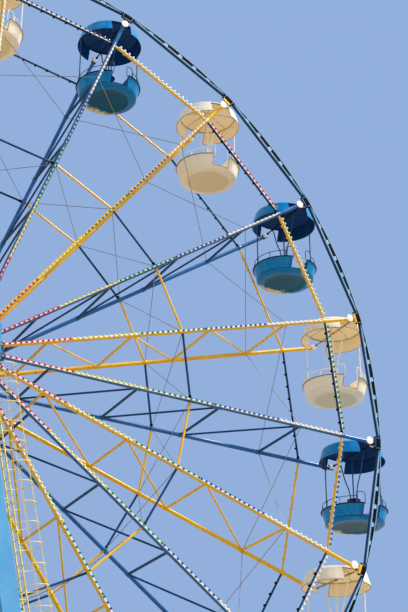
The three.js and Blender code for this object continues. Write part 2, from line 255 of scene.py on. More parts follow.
def copies_on(tree, points, given, facing, along, size=WHOLE):
    """Puts the template on each point, with its Z facing one way and its X along another."""
    shape = add(tree, "GeometryNodeObjectInfo", {"Object": given["Template"]}).outputs["Geometry"]
    axes = {"Primary Axis": facing, "Secondary Axis": along}
    turn = add(tree, "FunctionNodeAxesToRotation", axes, primary_axis="Z", secondary_axis="X")
    stamps = {"Points": points, "Instance": shape, "Rotation": turn.outputs[0], "Scale": size}
    return add(tree, "GeometryNodeInstanceOnPoints", stamps).outputs[0]


def make_tube_tree():
    tree, given = new_tree("tube", {"Sides": "NodeSocketInt"})
    path = add(tree, "GeometryNodeMeshToCurve", {"Mesh": given["Geometry"]}).outputs[0]
    ring = {"Resolution": given["Sides"], "Radius": 1.0}
    circle = add(tree, "GeometryNodeCurvePrimitiveCircle", ring).outputs[0]
    radius = add(tree, READER, {"Name": "radius"}, data_type="FLOAT").outputs[0]
    sweep = {"Curve": path, "Profile Curve": circle, "Scale": radius, "Fill Caps": True}
    tube = add(tree, "GeometryNodeCurveToMesh", sweep).outputs[0]
    return finish_tree(tree, tube, given["Material"])


def make_stamp_tree():
    tree, given = new_tree("stamp", {"Template": "NodeSocketObject"})
    attributes = []
    for name in ("facing", "along", "size"):
        reader = add(tree, READER, {"Name": name}, data_type="FLOAT_VECTOR")
        attributes.append(reader.outputs[0])
    copies = copies_on(tree, given["Geometry"], given, *attributes)
    return finish_tree(tree, copies, given["Material"])


def make_string_tree():
    tree, given = new_tree("string", {"Pitch": "NodeSocketFloat", "Template": "NodeSocketObject"})
    path = add(tree, "GeometryNodeMeshToCurve", {"Mesh": given["Geometry"]}).outputs[0]
    walk = {"Curve": path, "Length": given["Pitch"]}
    steps = add(tree, "GeometryNodeCurveToPoints", walk, mode="LENGTH").outputs
    copies = copies_on(tree, steps["Points"], given, tuple(FRONTWARDS), steps["Tangent"])
    return finish_tree(tree, copies, given["Material"])


TUBE_TREE = make_tube_tree()
STAMP_TREE = make_stamp_tree()
STRING_TREE = make_string_tree()
print("trees:", len(bpy.data.node_groups))

# %% [markdown]
# A modifier's inputs are set by the identifiers of its sockets, before the object is evaluated.
# The result becomes a plain mesh, and the object that carried the tree goes.


# %% Run a tree and keep its mesh
SHARP = math.radians(38)


def grown(name, base, tree, sizes):
    carrier = in_scene(name + "_base", base)
    modifier = carrier.modifiers.new("grow", "NODES")
    modifier.node_group = tree
    for socket in tree.interface.items_tree:
        if socket.in_out == "INPUT" and socket.name in sizes:
            modifier[socket.identifier] = sizes[socket.name]
    graph = bpy.context.evaluated_depsgraph_get()
    mesh = bpy.data.meshes.new_from_object(carrier.evaluated_get(graph), depsgraph=graph)
    bpy.data.objects.remove(carrier)
    bpy.data.meshes.remove(base)
    mesh.name = name
    mesh.set_sharp_from_angle(angle=SHARP)
    return mesh


def piece(name, mesh, body, replaced=()):
    made = in_scene(name, mesh)
    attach(made, body)
    if replaced:
        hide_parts(*replaced)


def tubes(name, runs, paint, sides=12):
    return grown(name, wire(runs), TUBE_TREE, {"Sides": sides, "Material": paint})


def stamped(name, rows, shape, paint, body="wheel", replaced=()):
    mesh = grown(name, places(rows), STAMP_TREE, {"Template": shape, "Material": paint})
    piece(name, mesh, body, replaced)


# %% [markdown]
# Turned shapes, such as bearings, lamp plates and the crown of a cabin, start as an outline of
# radius and height that is carried round an axis. The outline is closed, so the result always has
# a wall on both sides. Rows of points that don't close in a ring get a flat face at each end.


# %% Turned and boxed solids
EASED_ANGLE = math.radians(30)
WELD = 1e-5


def upright(radius, height, angle):
    return Vector((radius * math.cos(angle), radius * math.sin(angle), height))


def skinned(points, count, whole):
    """Joins rows of count points each into a closed skin."""
    rows = len(points) // count
    faces = []
    for k in range(rows if whole else rows - 1):
        here = k * count
        there = (k + 1) % rows * count
        for j in range(count):
            after = (j + 1) % count
            faces.append((here + j, here + after, there + after, there + j))
    if not whole:
        faces.append(tuple(range(count)))
        faces.append(tuple(range(rows * count - 1, (rows - 1) * count - 1, -1)))
    return points, faces


def revolved(outline, steps, place=upright, start=0.0):
    angles = [start + 2 * math.pi * k / steps for k in range(steps)]
    points = [place(radius, height, angle) for angle in angles for radius, height in outline]
    return skinned(points, len(outline), True)


def prism(outline, thickness):
    """A flat plate: an outline of x and y, thickened along Z to both sides."""
    points = [Vector((x, y, side * thickness / 2)) for side in (-1, 1) for x, y in outline]
    return skinned(points, len(outline), False)


def slanted_box(low, high, width, depth):
    points = []
    for end in (low, high):
        for x, y in ((-1, -1), (1, -1), (1, 1), (-1, 1)):
            points.append(Vector(end) + Vector((x * width / 2, y * depth / 2, 0)))
    return skinned(points, 4, False)


def solid(name, parts, bevel=0.0, segments=2):
    """Welds the parts into one mesh whose faces point outwards, with its edges eased if asked."""
    build = bmesh.new()
    for points, faces in parts:
        corners = [build.verts.new(point) for point in points]
        for face in faces:
            build.faces.new([corners[k] for k in face])
    bmesh.ops.remove_doubles(build, verts=build.verts, dist=WELD)
    bmesh.ops.recalc_face_normals(build, faces=build.faces)
    if bevel:
        sharp = [edge for edge in build.edges if edge.calc_face_angle(0) > EASED_ANGLE]
        bmesh.ops.bevel(build, geom=sharp, offset=bevel, segments=segments, affect="EDGES")
    mesh = bpy.data.meshes.new(name)
    build.to_mesh(mesh)
    build.free()
    mesh.shade_smooth()
    mesh.set_sharp_from_angle(angle=SHARP)
    return mesh


def painted(mesh, material):
    mesh.materials.clear()
    mesh.materials.append(material)
    return mesh


TEMPLATES = []


def template(name, *solid_given):
    """A solid as an object that the trees can copy. It goes when the last copies are made."""
    TEMPLATES.append(in_scene(name, solid(name, *solid_given)))
    return TEMPLATES[-1]


# %% [markdown]
# ## Finishes
# Every finish starts from an empty tree and the place on the object, and ends in one Principled
# shader. What lies between is written out for each, since it is what makes one finish differ from
# another. All of it follows the object's own coordinates, in metres, so a pattern has its true
# size and moves with the piece.


# %% Start and end of a finish
def new_material(name):
    material = bpy.data.materials.new(name)
    material.use_nodes = True
    tree = material.node_tree
    tree.nodes.clear()
    return material, tree, add(tree, "ShaderNodeTexCoord").outputs["Object"]


def finish_material(tree, skin):
    shader = add(tree, "ShaderNodeBsdfPrincipled", skin).outputs[0]
    add(tree, "ShaderNodeOutputMaterial", {"Surface": shader})


# %% [markdown]
# Nearly all the steel is brushed or rolled alkyd enamel. It gives the eye a soft highlight, a
# slight difference of tone from one coat to the next, pale chalky patches where the sun has
# bleached it, and small brown chips. The patches are about half a metre across, the chips a few
# centimetres, and the brush marks a few millimetres, drawn here at 20 mm because finer ones
# wouldn't show from the ground.


# %% Enamel on steel
PATCH = 0.6
CHIP = 0.05
BRUSH_MARK = 0.02
BLEACH_LOW, BLEACH_HIGH = 0.35, 0.7
CHIPS_IN_PATCHES = 0.25


def enamel(name, fresh, faded, chipped, roughness=0.42, chips=0.64, metallic=0.0, shine=0.35):
    material, tree, where = new_material(name)
    patch_noise = {"Vector": where, "Scale": 1 / PATCH, "Detail": 5.0, "Roughness": 0.6}
    patches = add(tree, "ShaderNodeTexNoise", patch_noise).outputs[0]
    chip_noise = {"Vector": where, "Scale": 1 / CHIP, "Detail": 3.0, "Roughness": 0.55}
    specks = add(tree, "ShaderNodeTexNoise", chip_noise).outputs[0]
    brush_noise = {"Vector": where, "Scale": 1 / BRUSH_MARK, "Detail": 2.0}
    brush = add(tree, "ShaderNodeTexNoise", brush_noise).outputs[0]

    limits = {"Value": patches, "From Min": BLEACH_LOW, "From Max": BLEACH_HIGH}
    bleach = add(tree, "ShaderNodeMapRange", limits).outputs[0]
    tone = {0: bleach, 6: linear(fresh), 7: linear(faded)}
    coat = add(tree, "ShaderNodeMix", tone, data_type="RGBA").outputs[2]
    chance = add(tree, "ShaderNodeMath", {0: patches, 1: CHIPS_IN_PATCHES}, operation="MULTIPLY")
    spots = add(tree, "ShaderNodeMath", {0: specks, 1: chance.outputs[0]}, operation="ADD")
    limits = {"Value": spots.outputs[0], "From Min": chips + 0.12, "From Max": chips + 0.17}
    bare = add(tree, "ShaderNodeMapRange", limits).outputs[0]
    tone = {0: bare, 6: coat, 7: linear(chipped)}
    surface = add(tree, "ShaderNodeMix", tone, data_type="RGBA").outputs[2]

    gloss = {"Value": patches, "To Min": roughness - 0.08, "To Max": roughness + 0.14}
    rough = add(tree, "ShaderNodeMapRange", gloss).outputs[0]
    height = add(tree, "ShaderNodeMath", {0: brush, 1: bare}, operation="SUBTRACT").outputs[0]
    bump = add(tree, "ShaderNodeBump", {"Height": height, "Strength": 0.18, "Distance": 0.002})
    finish_material(tree, {
        "Base Color": surface,
        "Roughness": rough,
        "Normal": bump.outputs[0],
        "Metallic": metallic,
        "Specular IOR Level": shine,
    })
    return material


YELLOW = enamel("yellow_enamel", "#F0B400", "#F9CA0A", "#8C5A1C", roughness=0.3, shine=0.4)
BLUE = enamel("blue_enamel", "#0A57A2", "#1A72C0", "#141E2C", roughness=0.3, shine=0.35)
# A darker copy of the blue enamel, painted shade, for the blue posts, diagonals and ring struts.
BLUE_IN_PAINTED_SHADE = enamel("blue_enamel_in_painted_shade", "#083866", "#0E4C8C", "#10141E", roughness=0.42, shine=0.15)
DARK_BLUE = enamel("dark_blue_enamel", "#0A2E60", "#144482", "#10141E", shine=0.2)
RIM_BLUE = enamel("pale_blue_enamel", "#78ACDA", "#A0C8EA", "#5A4A3A")
TOWER_BLUE = enamel("tower_blue_enamel", "#4896D0", "#58A4DA", "#4A6A80", chips=0.72)
WHITE = enamel("white_enamel", "#F4F2EC", "#FFFFFF", "#A08A6A", chips=0.7)
LADDER_YELLOW = enamel("ladder_enamel", "#EDCB55", "#F5E08A", "#8C6A3C")
DECK_GREY = enamel("deck_grey_enamel", "#868E96", "#A6ADB3", "#6B4A32", roughness=0.55)
HUB_BLUE = enamel("hub_blue_enamel", "#1A5090", "#3A72AC", "#33302C")
GALVANISED = enamel("galvanised_steel", "#7E848A", "#A3A8AC", "#6E6459", 0.45, 0.7, 0.8)

# %% [markdown]
# Moulded rubber has hardly any colour of its own: it is nearly black, dull, and dusted with grey
# where dirt has settled. The bulb caps are moulded acrylic, a clear bright colour with a small
# sharp highlight, and a little paler in random spots.


# %% Rubber and bulb caps
DUST_LOW, DUST_HIGH = 0.4, 0.75


def moulded(name, colour, dusty, roughness=0.3, coat=0.2, grain=0.03):
    material, tree, where = new_material(name)
    noise = {"Vector": where, "Scale": 1 / grain, "Detail": 3.0}
    dust = add(tree, "ShaderNodeTexNoise", noise).outputs[0]
    limits = {"Value": dust, "From Min": DUST_LOW, "From Max": DUST_HIGH}
    share = add(tree, "ShaderNodeMapRange", limits).outputs[0]
    tone = {0: share, 6: linear(colour), 7: linear(dusty)}
    surface = add(tree, "ShaderNodeMix", tone, data_type="RGBA").outputs[2]
    gloss = {"Value": dust, "To Min": roughness, "To Max": min(roughness + 0.2, 1.0)}
    rough = add(tree, "ShaderNodeMapRange", gloss).outputs[0]
    bump = add(tree, "ShaderNodeBump", {"Height": dust, "Strength": 0.1, "Distance": 0.001})
    finish_material(tree, {
        "Base Color": surface,
        "Roughness": rough,
        "Normal": bump.outputs[0],
        "Coat Weight": coat,
        "Specular IOR Level": 0.04 + coat,
    })
    return material


# This black serves real rubber, and also paints the shade on the drive band.
RUBBER_AND_PAINTED_SHADE = moulded("black_rubber", "#07090E", "#12151A", 0.6, 0.0, 0.08)
BULB_PAINT = {
    "red": moulded("red_acrylic", "#E00024", "#E82844"),
    "yellow": moulded("yellow_acrylic", "#EFE000", "#F8EC30"),
    "green": moulded("green_acrylic", "#0A8434", "#209C4C"),
    "blue": moulded("blue_acrylic", "#0A4CA8", "#2466BC"),
    "white": moulded("white_acrylic", "#FBF6E8", "#FFFFFF"),
}

# %% [markdown]
# The cabin shells are glass fibre laid up in a mould, with a gelcoat that carries the colour. It
# is smooth and fairly glossy, with a faint waviness from the mould, rain streaks down the walls,
# and a belly that is scuffed down to the cream undercoat where it rubs the loading ramp. The plate
# under the floor is dull, and darker than the belly, painted shade in its shallow recess. The
# inside is dull too, with a second coat in a darker colour, painted shade under the canopy and in
# the tub. Two attributes steer this: `local` is the place in the cabin, measured from its axle, and
# `inside` is one on the inner faces. The streaks are about 0.1 m wide and 0.8 m long, the scuffs
# 0.3 m and the waves 0.2 m across.

# %% Gelcoat
STREAKS_PER_METRE = (9.0, 9.0, 1.2)
SCUFFS_PER_METRE = 3.0
WAVES_PER_METRE = 5.0
BELLY_TOP, BELLY_LOW = -2.03, -2.07
PLATE_RIM, BELLY_RIM = 0.61, 0.63
SCUFFED_TO_REAR = 1.1
SCUFF_EDGE = 0.12


def gelcoat(name, fresh, faded, lining_and_shade, belly, plate, scuffed, scuffs):
    material, tree, where = new_material(name)
    local = add(tree, "ShaderNodeAttribute", attribute_name="local").outputs["Vector"]
    inside = add(tree, "ShaderNodeAttribute", attribute_name="inside").outputs["Fac"]
    parts = add(tree, "ShaderNodeSeparateXYZ", {"Vector": local}).outputs
    stretch = {"Vector": where, "Scale": STREAKS_PER_METRE}
    stretched = add(tree, "ShaderNodeMapping", stretch).outputs[0]
    streak_noise = {"Vector": stretched, "Scale": 1.0, "Detail": 4.0}
    streaks = add(tree, "ShaderNodeTexNoise", streak_noise).outputs[0]
    patch_noise = {"Vector": where, "Scale": SCUFFS_PER_METRE, "Detail": 5.0, "Roughness": 0.72}
    patches = add(tree, "ShaderNodeTexNoise", patch_noise).outputs[0]
    wave_noise = {"Vector": where, "Scale": WAVES_PER_METRE, "Detail": 1.0}
    waves = add(tree, "ShaderNodeTexNoise", wave_noise).outputs[0]

    limits = {"Value": streaks, "From Min": BLEACH_LOW, "From Max": BLEACH_HIGH}
    bleach = add(tree, "ShaderNodeMapRange", limits).outputs[0]
    tone = {0: bleach, 6: linear(fresh), 7: linear(faded)}
    coat = add(tree, "ShaderNodeMix", tone, data_type="RGBA").outputs[2]
    # The lining is a darker coat, painted shade inside the canopy and the tub.
    tone = {0: inside, 6: coat, 7: linear(lining_and_shade)}
    lined_and_shaded = add(tree, "ShaderNodeMix", tone, data_type="RGBA").outputs[2]

    limits = {"Value": parts["Z"], "From Min": BELLY_TOP, "From Max": BELLY_LOW}
    under = add(tree, "ShaderNodeMapRange", limits).outputs[0]
    outer = add(tree, "ShaderNodeMath", {0: 1.0, 1: inside}, operation="SUBTRACT").outputs[0]
    on_belly = add(tree, "ShaderNodeMath", {0: under, 1: outer}, operation="MULTIPLY").outputs[0]
    flat = add(tree, "ShaderNodeVectorMath", {0: local, 1: (1, 1, 0)}, operation="MULTIPLY")
    reach = add(tree, "ShaderNodeVectorMath", {0: flat.outputs[0]}, operation="LENGTH")
    limits = {"Value": reach.outputs["Value"], "From Min": PLATE_RIM, "From Max": BELLY_RIM}
    beyond = add(tree, "ShaderNodeMapRange", limits).outputs[0]
    # The plate is darker than the belly: painted shade in its shallow recess.
    tone = {0: beyond, 6: linear(plate), 7: linear(belly)}
    below = add(tree, "ShaderNodeMix", tone, data_type="RGBA").outputs[2]
    tone = {0: on_belly, 6: lined_and_shaded, 7: below}
    with_belly = add(tree, "ShaderNodeMix", tone, data_type="RGBA").outputs[2]

    rear = add(tree, "ShaderNodeMath", {0: parts["Y"], 1: SCUFFED_TO_REAR}, operation="MULTIPLY")
    rubbed = add(tree, "ShaderNodeMath", {0: patches, 1: rear.outputs[0]}, operation="ADD")
    limits = {"Value": rubbed.outputs[0], "From Min": scuffs, "From Max": scuffs + SCUFF_EDGE}
    scuff = add(tree, "ShaderNodeMapRange", limits).outputs[0]
    worn = add(tree, "ShaderNodeMath", {0: scuff, 1: on_belly}, operation="MULTIPLY").outputs[0]
    tone = {0: worn, 6: with_belly, 7: linear(scuffed)}
    surface = add(tree, "ShaderNodeMix", tone, data_type="RGBA").outputs[2]

    gloss = {"Value": patches, "To Min": 0.2, "To Max": 0.5}
    rough = add(tree, "ShaderNodeMapRange", gloss).outputs[0]
    bump = add(tree, "ShaderNodeBump", {"Height": waves, "Strength": 0.25, "Distance": 0.01})
    within = add(tree, "ShaderNodeMath", {0: 1.0, 1: beyond}, operation="SUBTRACT").outputs[0]
    on_plate = add(tree, "ShaderNodeMath", {0: within, 1: on_belly}, operation="MULTIPLY")
    dull = {0: inside, 1: on_plate.outputs[0]}
    matt = add(tree, "ShaderNodeMath", dull, operation="MAXIMUM").outputs[0]
    shine = add(tree, "ShaderNodeMapRange", {"Value": matt, "To Min": 0.22, "To Max": 0.0})
    finish_material(tree, {
        "Base Color": surface,
        "Roughness": rough,
        "Normal": bump.outputs[0],
        "Specular IOR Level": 0.08,
        "Coat Weight": shine.outputs[0],
        "Coat Roughness": 0.12,
    })
    return material


# The third colour, the lining, is darker than the shell's, painted shade inside the cabin.
IVORY_SHELL = gelcoat(
    "ivory_gelcoat", "#F8EFDF", "#FBF5EA", "#FAEBCC", "#FAEFD8", "#EAD8B4", "#FFF4D8", 1.2
)
BLUE_SHELL = gelcoat(
    "blue_gelcoat", "#0078C4", "#0690D0", "#054080", "#0074BC", "#005478", "#D2C4AA", 1.06
)
print("finishes:", len(bpy.data.materials))

# %% [markdown]
# ## Spokes
# Each spoke is a flat welded truss of round tube that stands in the plane of the axle: a front
# and a rear chord, four posts between them and three diagonals. The trusses alternate in colour
# and in the lean of their diagonals. The blue ones have their posts and diagonals in a darker
# copy of the blue, painted shade. The tube tree sweeps all the members of one colour at once.

# %% Spoke trusses
BEARING_TOP = 12.34
POST = 0.076
BRACE = 0.055


def spoke_runs(number):
    front, rear = -CHORD_PLANE, CHORD_PLANE
    chords = [
        (spoke_line(number, (HUB_FACE, front), (CHORD_END, front)), FRONT_CHORD / 2),
        (spoke_line(number, (HUB_FACE, rear), (BEARING_TOP, rear)), REAR_CHORD / 2),
    ]
    braces = []
    for radius in POST_RADII:
        braces.append((spoke_line(number, (radius, front), (radius, rear)), POST / 2))
    start, end = (front, rear) if number % 2 == 0 else (rear, front)
    for inner, outer in zip(POST_RADII, POST_RADII[1:]):
        braces.append((spoke_line(number, (inner, start), (outer, end)), BRACE / 2))
    return chords, braces


STEEL = (
    (0, "yellow", "yellow_paint", YELLOW, YELLOW),
    (1, "blue", "blue_paint", BLUE, BLUE_IN_PAINTED_SHADE),
)
for first, colour, slot, paint, brace_paint in STEEL:
    numbers = range(first, SPOKES, 2)
    chords, braces = [], []
    for number in numbers:
        spoke_chords, spoke_braces = spoke_runs(number)
        chords += spoke_chords
        braces += spoke_braces
    mesh = tubes(f"{colour}_chords", chords, paint, sides=14)
    replaced = [f"spoke_{number + 1:02d}" for number in numbers]
    piece(f"{colour}_chords", mesh, "wheel", replaced)
    mesh = tubes(f"{colour}_braces", braces, brace_paint)
    piece(f"{colour}_braces", mesh, "wheel")
print("spokes:", SPOKES)

# %% [markdown]
# Where a post or a ring strut meets a chord, the real truss has a welded collar, and at the hub
# each chord ends in a bolted foot plate. Both are the same turned drum at different sizes, so one
# template is stamped at every joint.

# %% Collars and foot plates
COLLAR_PROUD = 0.022
COLLAR_LENGTH = 0.14
COLLAR_RADII = (*POST_RADII, MID_RING_RADIUS, OUTER_RING_RADIUS)
FOOT_SHARE = 1.9
FOOT_THICKNESS = 0.03
DRUM = template("drum", [revolved([
    (0, -0.5), (0.44, -0.5), (0.5, -0.42), (0.5, 0.42), (0.44, 0.5), (0, 0.5),
], 16)])


def collar_rows(number):
    rows = []
    for y, diameter in ((-CHORD_PLANE, FRONT_CHORD), (CHORD_PLANE, REAR_CHORD)):
        joints = [(radius, diameter + COLLAR_PROUD, COLLAR_LENGTH) for radius in COLLAR_RADII]
        joints.append((HUB_FACE + FOOT_THICKNESS, diameter * FOOT_SHARE, FOOT_THICKNESS))
        for radius, width, length in joints:
            size = (width, width, length)
            rows.append((on_spoke(radius, number, y), outwards(number), REARWARDS, size))
    return rows


for first, colour, slot, paint, _ in STEEL:
    rows = [row for number in range(first, SPOKES, 2) for row in collar_rows(number)]
    stamped(f"{colour}_collars", rows, DRUM, paint)
print("collars and foot plates:", SPOKES * len(collar_rows(0)))

# %% [markdown]
# ## Ring struts and stays
# Two rings of straight struts, front and rear, hold the spokes apart. Their colour changes from
# bay to bay. Stays of thin taut steel rod cross in every bay between the front of one spoke and the
# rear of the next. All of them are straight lines of a wire, so the tube tree makes them too.

# %% Ring struts and stays
STRUT = 0.062
STAY = 0.019
STAY_RADII = (MID_RING_RADIUS, 9.8)
BOTH_PLANES = (-CHORD_PLANE, CHORD_PLANE)
rings = {
    "yellow": (1, "yellow_paint", YELLOW, ["outer_ring_front", "outer_ring_rear"]),
    # The blue struts take the darker copy of the blue enamel, painted shade.
    "blue": (0, "blue_paint", BLUE_IN_PAINTED_SHADE, ["mid_ring_front", "mid_ring_rear"]),
}
for colour, (first, slot, paint, replaced) in rings.items():
    struts = []
    for bay in range(first, SPOKES, 2):
        for radius in (MID_RING_RADIUS, OUTER_RING_RADIUS):
            struts += [(bay_line(radius, bay, y, y), STRUT / 2) for y in BOTH_PLANES]
    mesh = tubes(f"{colour}_ring_struts", struts, paint)
    piece(f"{colour}_ring_struts", mesh, "wheel", replaced)

stays = []
for bay in range(SPOKES):
    for radius in STAY_RADII:
        stays += [(bay_line(radius, bay, y, -y), STAY / 2) for y in BOTH_PLANES]
piece("stays", tubes("stays", stays, GALVANISED, 6), "wheel")
print("stays:", len(stays))

# %% [markdown]
# Cable clamps grip the outer struts and hold the lamp wiring: black ones on the blue struts,
# painted ones on the yellow. They stand out on the side away from the lamps, and are spread evenly,
# at a step that is no shorter than the pitch below. A blue strut of either ring ends in a black cap
# where it meets a blue spoke. The collars' template serves for both.

# %% Strut clamps and caps
CLAMP_PITCH = 0.37
CLAMP_SHIFT = -0.022
CLAMP = (0.084, 0.09, 0.045)
CAP = (0.085, 0.085, 0.07)
CAP_FROM_SPOKE = 0.1
clamps = {"yellow": [], "blue": []}
for bay in range(SPOKES):
    for radius in (MID_RING_RADIUS, OUTER_RING_RADIUS):
        start, end = bay_line(radius, bay, 0, 0)
        along = (end - start).normalized()
        aside = CLAMP_SHIFT * outwards(bay + 0.5)
        count = int((end - start).length / CLAMP_PITCH)
        for y in BOTH_PLANES:
            level = Vector((0, y, 0))
            if bay % 2 == 0:
                cap = end - along * CAP_FROM_SPOKE + level
                clamps["blue"].append((cap, along, FRONTWARDS, CAP))
            if radius == MID_RING_RADIUS:
                continue
            for k in range(1, count):
                middle = start.lerp(end, k / count) + level + aside
                clamps["yellow" if bay % 2 else "blue"].append((middle, along, FRONTWARDS, CLAMP))
stamped("black_clamps", clamps["blue"], DRUM, RUBBER_AND_PAINTED_SHADE)
stamped("yellow_clamps", clamps["yellow"], DRUM, YELLOW)
print("clamps:", sum(len(rows) for rows in clamps.values()))

# %% [markdown]
# ## Lights
# A white strip runs along the front of every front chord, and along the outer side of the front
# of every outer strut, with a coloured bulb each 0.15 m. The colour steps outwards along a spoke,
# and changes from bay to bay on the struts. The string tree places the bulbs, so their number
# follows from the length.

# %% Lamp strips and bulbs
SPOKE_STRIP = 0.036
STRUT_STRIP = 0.032
STRIP_DEPTH = 0.042
SPOKE_STRIP_SINK = 0.006
STRUT_STRIP_SINK = 0.02
STRUT_BULB_SINK = 0.016
STRIP_PAST_BULBS = 0.06
BULB_PITCH = 0.15
STRUT_LAMP_SHIFT = 0.03
STRUT_BULB_SHIFT = 1.3 * STRUT_LAMP_SHIFT
STRIP_FROM_SPOKE = 0.15
BULB_FROM_SPOKE = 0.2
SPOKE_LIGHTS = (
    ("red", 1.03, 2.89), ("yellow", 2.97, 4.95), ("green", 5.03, 6.97),
    ("blue", 7.05, 9.0), ("white", 9.08, 11.03),
)
BAY_LIGHTS = ("blue", "white", "red", "yellow", "green")
BLOCK = template("block", [slanted_box((0, 0, -0.5), (0, 0, 0.5), 1, 1)], 0.07, 1)
spoke_front = -CHORD_PLANE - FRONT_CHORD / 2 - STRIP_DEPTH
strut_front = -CHORD_PLANE - STRUT / 2 - STRIP_DEPTH
low = SPOKE_LIGHTS[0][1] - STRIP_PAST_BULBS
high = SPOKE_LIGHTS[-1][2] + STRIP_PAST_BULBS
strips = []
bulb_runs = {colour: [] for colour in BULB_PAINT}
for number in range(SPOKES):
    y = spoke_front + STRIP_DEPTH / 2 + SPOKE_STRIP_SINK
    size = (high - low, SPOKE_STRIP, STRIP_DEPTH)
    strips.append((on_spoke((low + high) / 2, number, y), FRONTWARDS, outwards(number), size))
    for colour, start, end in SPOKE_LIGHTS:
        run = spoke_line(number, (start, spoke_front), (end, spoke_front))
        bulb_runs[colour].append((run, 0.0))

    start, end = bay_line(OUTER_RING_RADIUS, number, 0, 0)
    along = (end - start).normalized()
    out = outwards(number + 0.5)
    aside = STRUT_LAMP_SHIFT * out
    aside.y = strut_front + STRIP_DEPTH / 2 + STRUT_STRIP_SINK
    size = ((end - start).length - 2 * STRIP_FROM_SPOKE, STRUT_STRIP, STRIP_DEPTH)
    strips.append(((start + end) / 2 + aside, FRONTWARDS, along, size))
    aside = STRUT_BULB_SHIFT * out
    aside.y = strut_front + STRUT_BULB_SINK
    run = [start + BULB_FROM_SPOKE * along + aside, end - BULB_FROM_SPOKE * along + aside]
    bulb_runs[BAY_LIGHTS[number % len(BAY_LIGHTS)]].append((run, 0.0))
stamped("lamp_strips", strips, BLOCK, WHITE)

BULB = template("bulb", [revolved([
    (0, 0), (0.022, 0), (0.022, 0.01), (0.034, 0.014), (0.036, 0.03), (0.027, 0.047), (0, 0.055),
], 8)])
for colour, runs in bulb_runs.items():
    given = {"Pitch": BULB_PITCH, "Template": BULB, "Material": BULB_PAINT[colour]}
    mesh = grown(f"{colour}_bulbs", wire(runs), STRING_TREE, given)
    piece(f"{colour}_bulbs", mesh, "wheel")
    print(colour, "bulbs:", len(mesh.polygons), "faces")

# %% [markdown]
# ## Rim
# The rim is a polygon of dark blue tube with its corners on the spokes. In front of it runs the
# drive band. Its outer edge is a thin round pale strip with a black ring inside it, painted shade
# under the edge. In each bay a straight pale strip lies along the chord, and black blocks fill the
# space between, parted by pale plates; their black is painted shade in the recess of the band. The
# blocks and the plates of one bay are cut from flat outlines and stamped into every bay. In these
# outlines X runs clockwise along the chord, and Y outwards from the chord.

# %% Blocks and plates of a bay
BAND_BACK = -1.2233
BAND_FRONT = -1.2533
BAND_MIDDLE = (BAND_BACK + BAND_FRONT) / 2
BAND_CHORD = 12.23
GAP_RADIUS = 12.3
BAND_EDGE = 12.372
STRIP_TOP = 0.04
STRIP_LAP = 0.003
STRIP_REACH = 1.75
STRIP_THICKNESS = 0.03
BLOCK_REACH = 1.68
BLOCK_THICKNESS = 0.042
BLOCK_SLANT = 0.012
PLATE_THICKNESS = 0.026
PLATE_LAP = 0.01
GAP_SHARES = [0.4975 + 0.1405 * k for k in (-2, -1, 0, 1, 2)]
GAP = 0.038
TOP_STEPS = 6


def bay_x(share):
    """How far along the chord a share of the bay's angle lies, from the middle of the bay."""
    return GAP_RADIUS * math.tan((share - 0.5) * BAY)


def band_top(x):
    return math.sqrt(BAND_EDGE ** 2 - x ** 2) - BAND_CHORD


def filling(left, right, slant, thickness):
    """A plate between the straight strip and the round edge, from one X to another."""
    low = STRIP_TOP - STRIP_LAP
    wide = right - left + 2 * slant
    top = [left - slant + wide * k / TOP_STEPS for k in range(TOP_STEPS + 1)]
    outline = [(max(left, -BLOCK_REACH), low), (min(right, BLOCK_REACH), low)]
    outline += [(x, band_top(x)) for x in reversed(top) if abs(x) < BLOCK_REACH]
    return prism(outline, thickness)


ends = [-BLOCK_REACH]
for share in GAP_SHARES:
    ends += [bay_x(share - GAP / 2), bay_x(share + GAP / 2)]
ends.append(BLOCK_REACH)
blocks = []
for left, right in zip(ends[::2], ends[1::2]):
    blocks.append(filling(left, right, BLOCK_SLANT, BLOCK_THICKNESS))
corners = ((-1, 0), (1, 0), (1, STRIP_TOP), (-1, STRIP_TOP))
pale = [prism([(side * STRIP_REACH, y) for side, y in corners], STRIP_THICKNESS)]
for left, right in zip(ends[1:-1:2], ends[2:-1:2]):
    pale.append(filling(left - PLATE_LAP, right + PLATE_LAP, 0, PLATE_THICKNESS))
BAY_BLOCKS = template("bay_blocks", blocks)
BAY_PALE = template("bay_pale", pale)
print("blocks in a bay:", len(blocks))

# %% [markdown]
# The rim tube is one closed run of wire with straight sides. The round edge and the black ring of
# painted shade inside it could be tubes too, but the real edge is flat, so a small rectangle is
# turned about the wheel's axle.

# %% Rim tube, edge, seal and bays
RIM_TUBE = 0.08
BAND_OUTER = 12.4
BAND_STEPS = 240
EDGE_LAP = 0.004
SHADE_RING_INNER, SHADE_RING_OUTER, SHADE_RING_PROUD = BAND_EDGE - 0.014, BAND_EDGE + 0.006, 0.003
rim_corners = [on_spoke(RIM_TUBE_RADIUS, number, -CHORD_PLANE) for number in range(SPOKES)]
rim = tubes("rim_tube", [(rim_corners, RIM_TUBE / 2, True)], DARK_BLUE, 14)
piece("rim_tube", rim, "wheel", ["rim_tubes"])


def band_ring(name, inner, outer, proud, paint):
    """A flat ring about the axle that stands proud of the band by a little on both faces."""
    front, back = BAND_FRONT - proud, BAND_BACK + proud
    outline = [(inner, front), (outer, front), (outer, back), (inner, back)]
    mesh = solid(name, [revolved(outline, BAND_STEPS, about_axle, spoke_angle(0))])
    piece(name, painted(mesh, paint), "wheel")


band_ring("band_edge", BAND_EDGE + EDGE_LAP, BAND_OUTER, 0, RIM_BLUE)
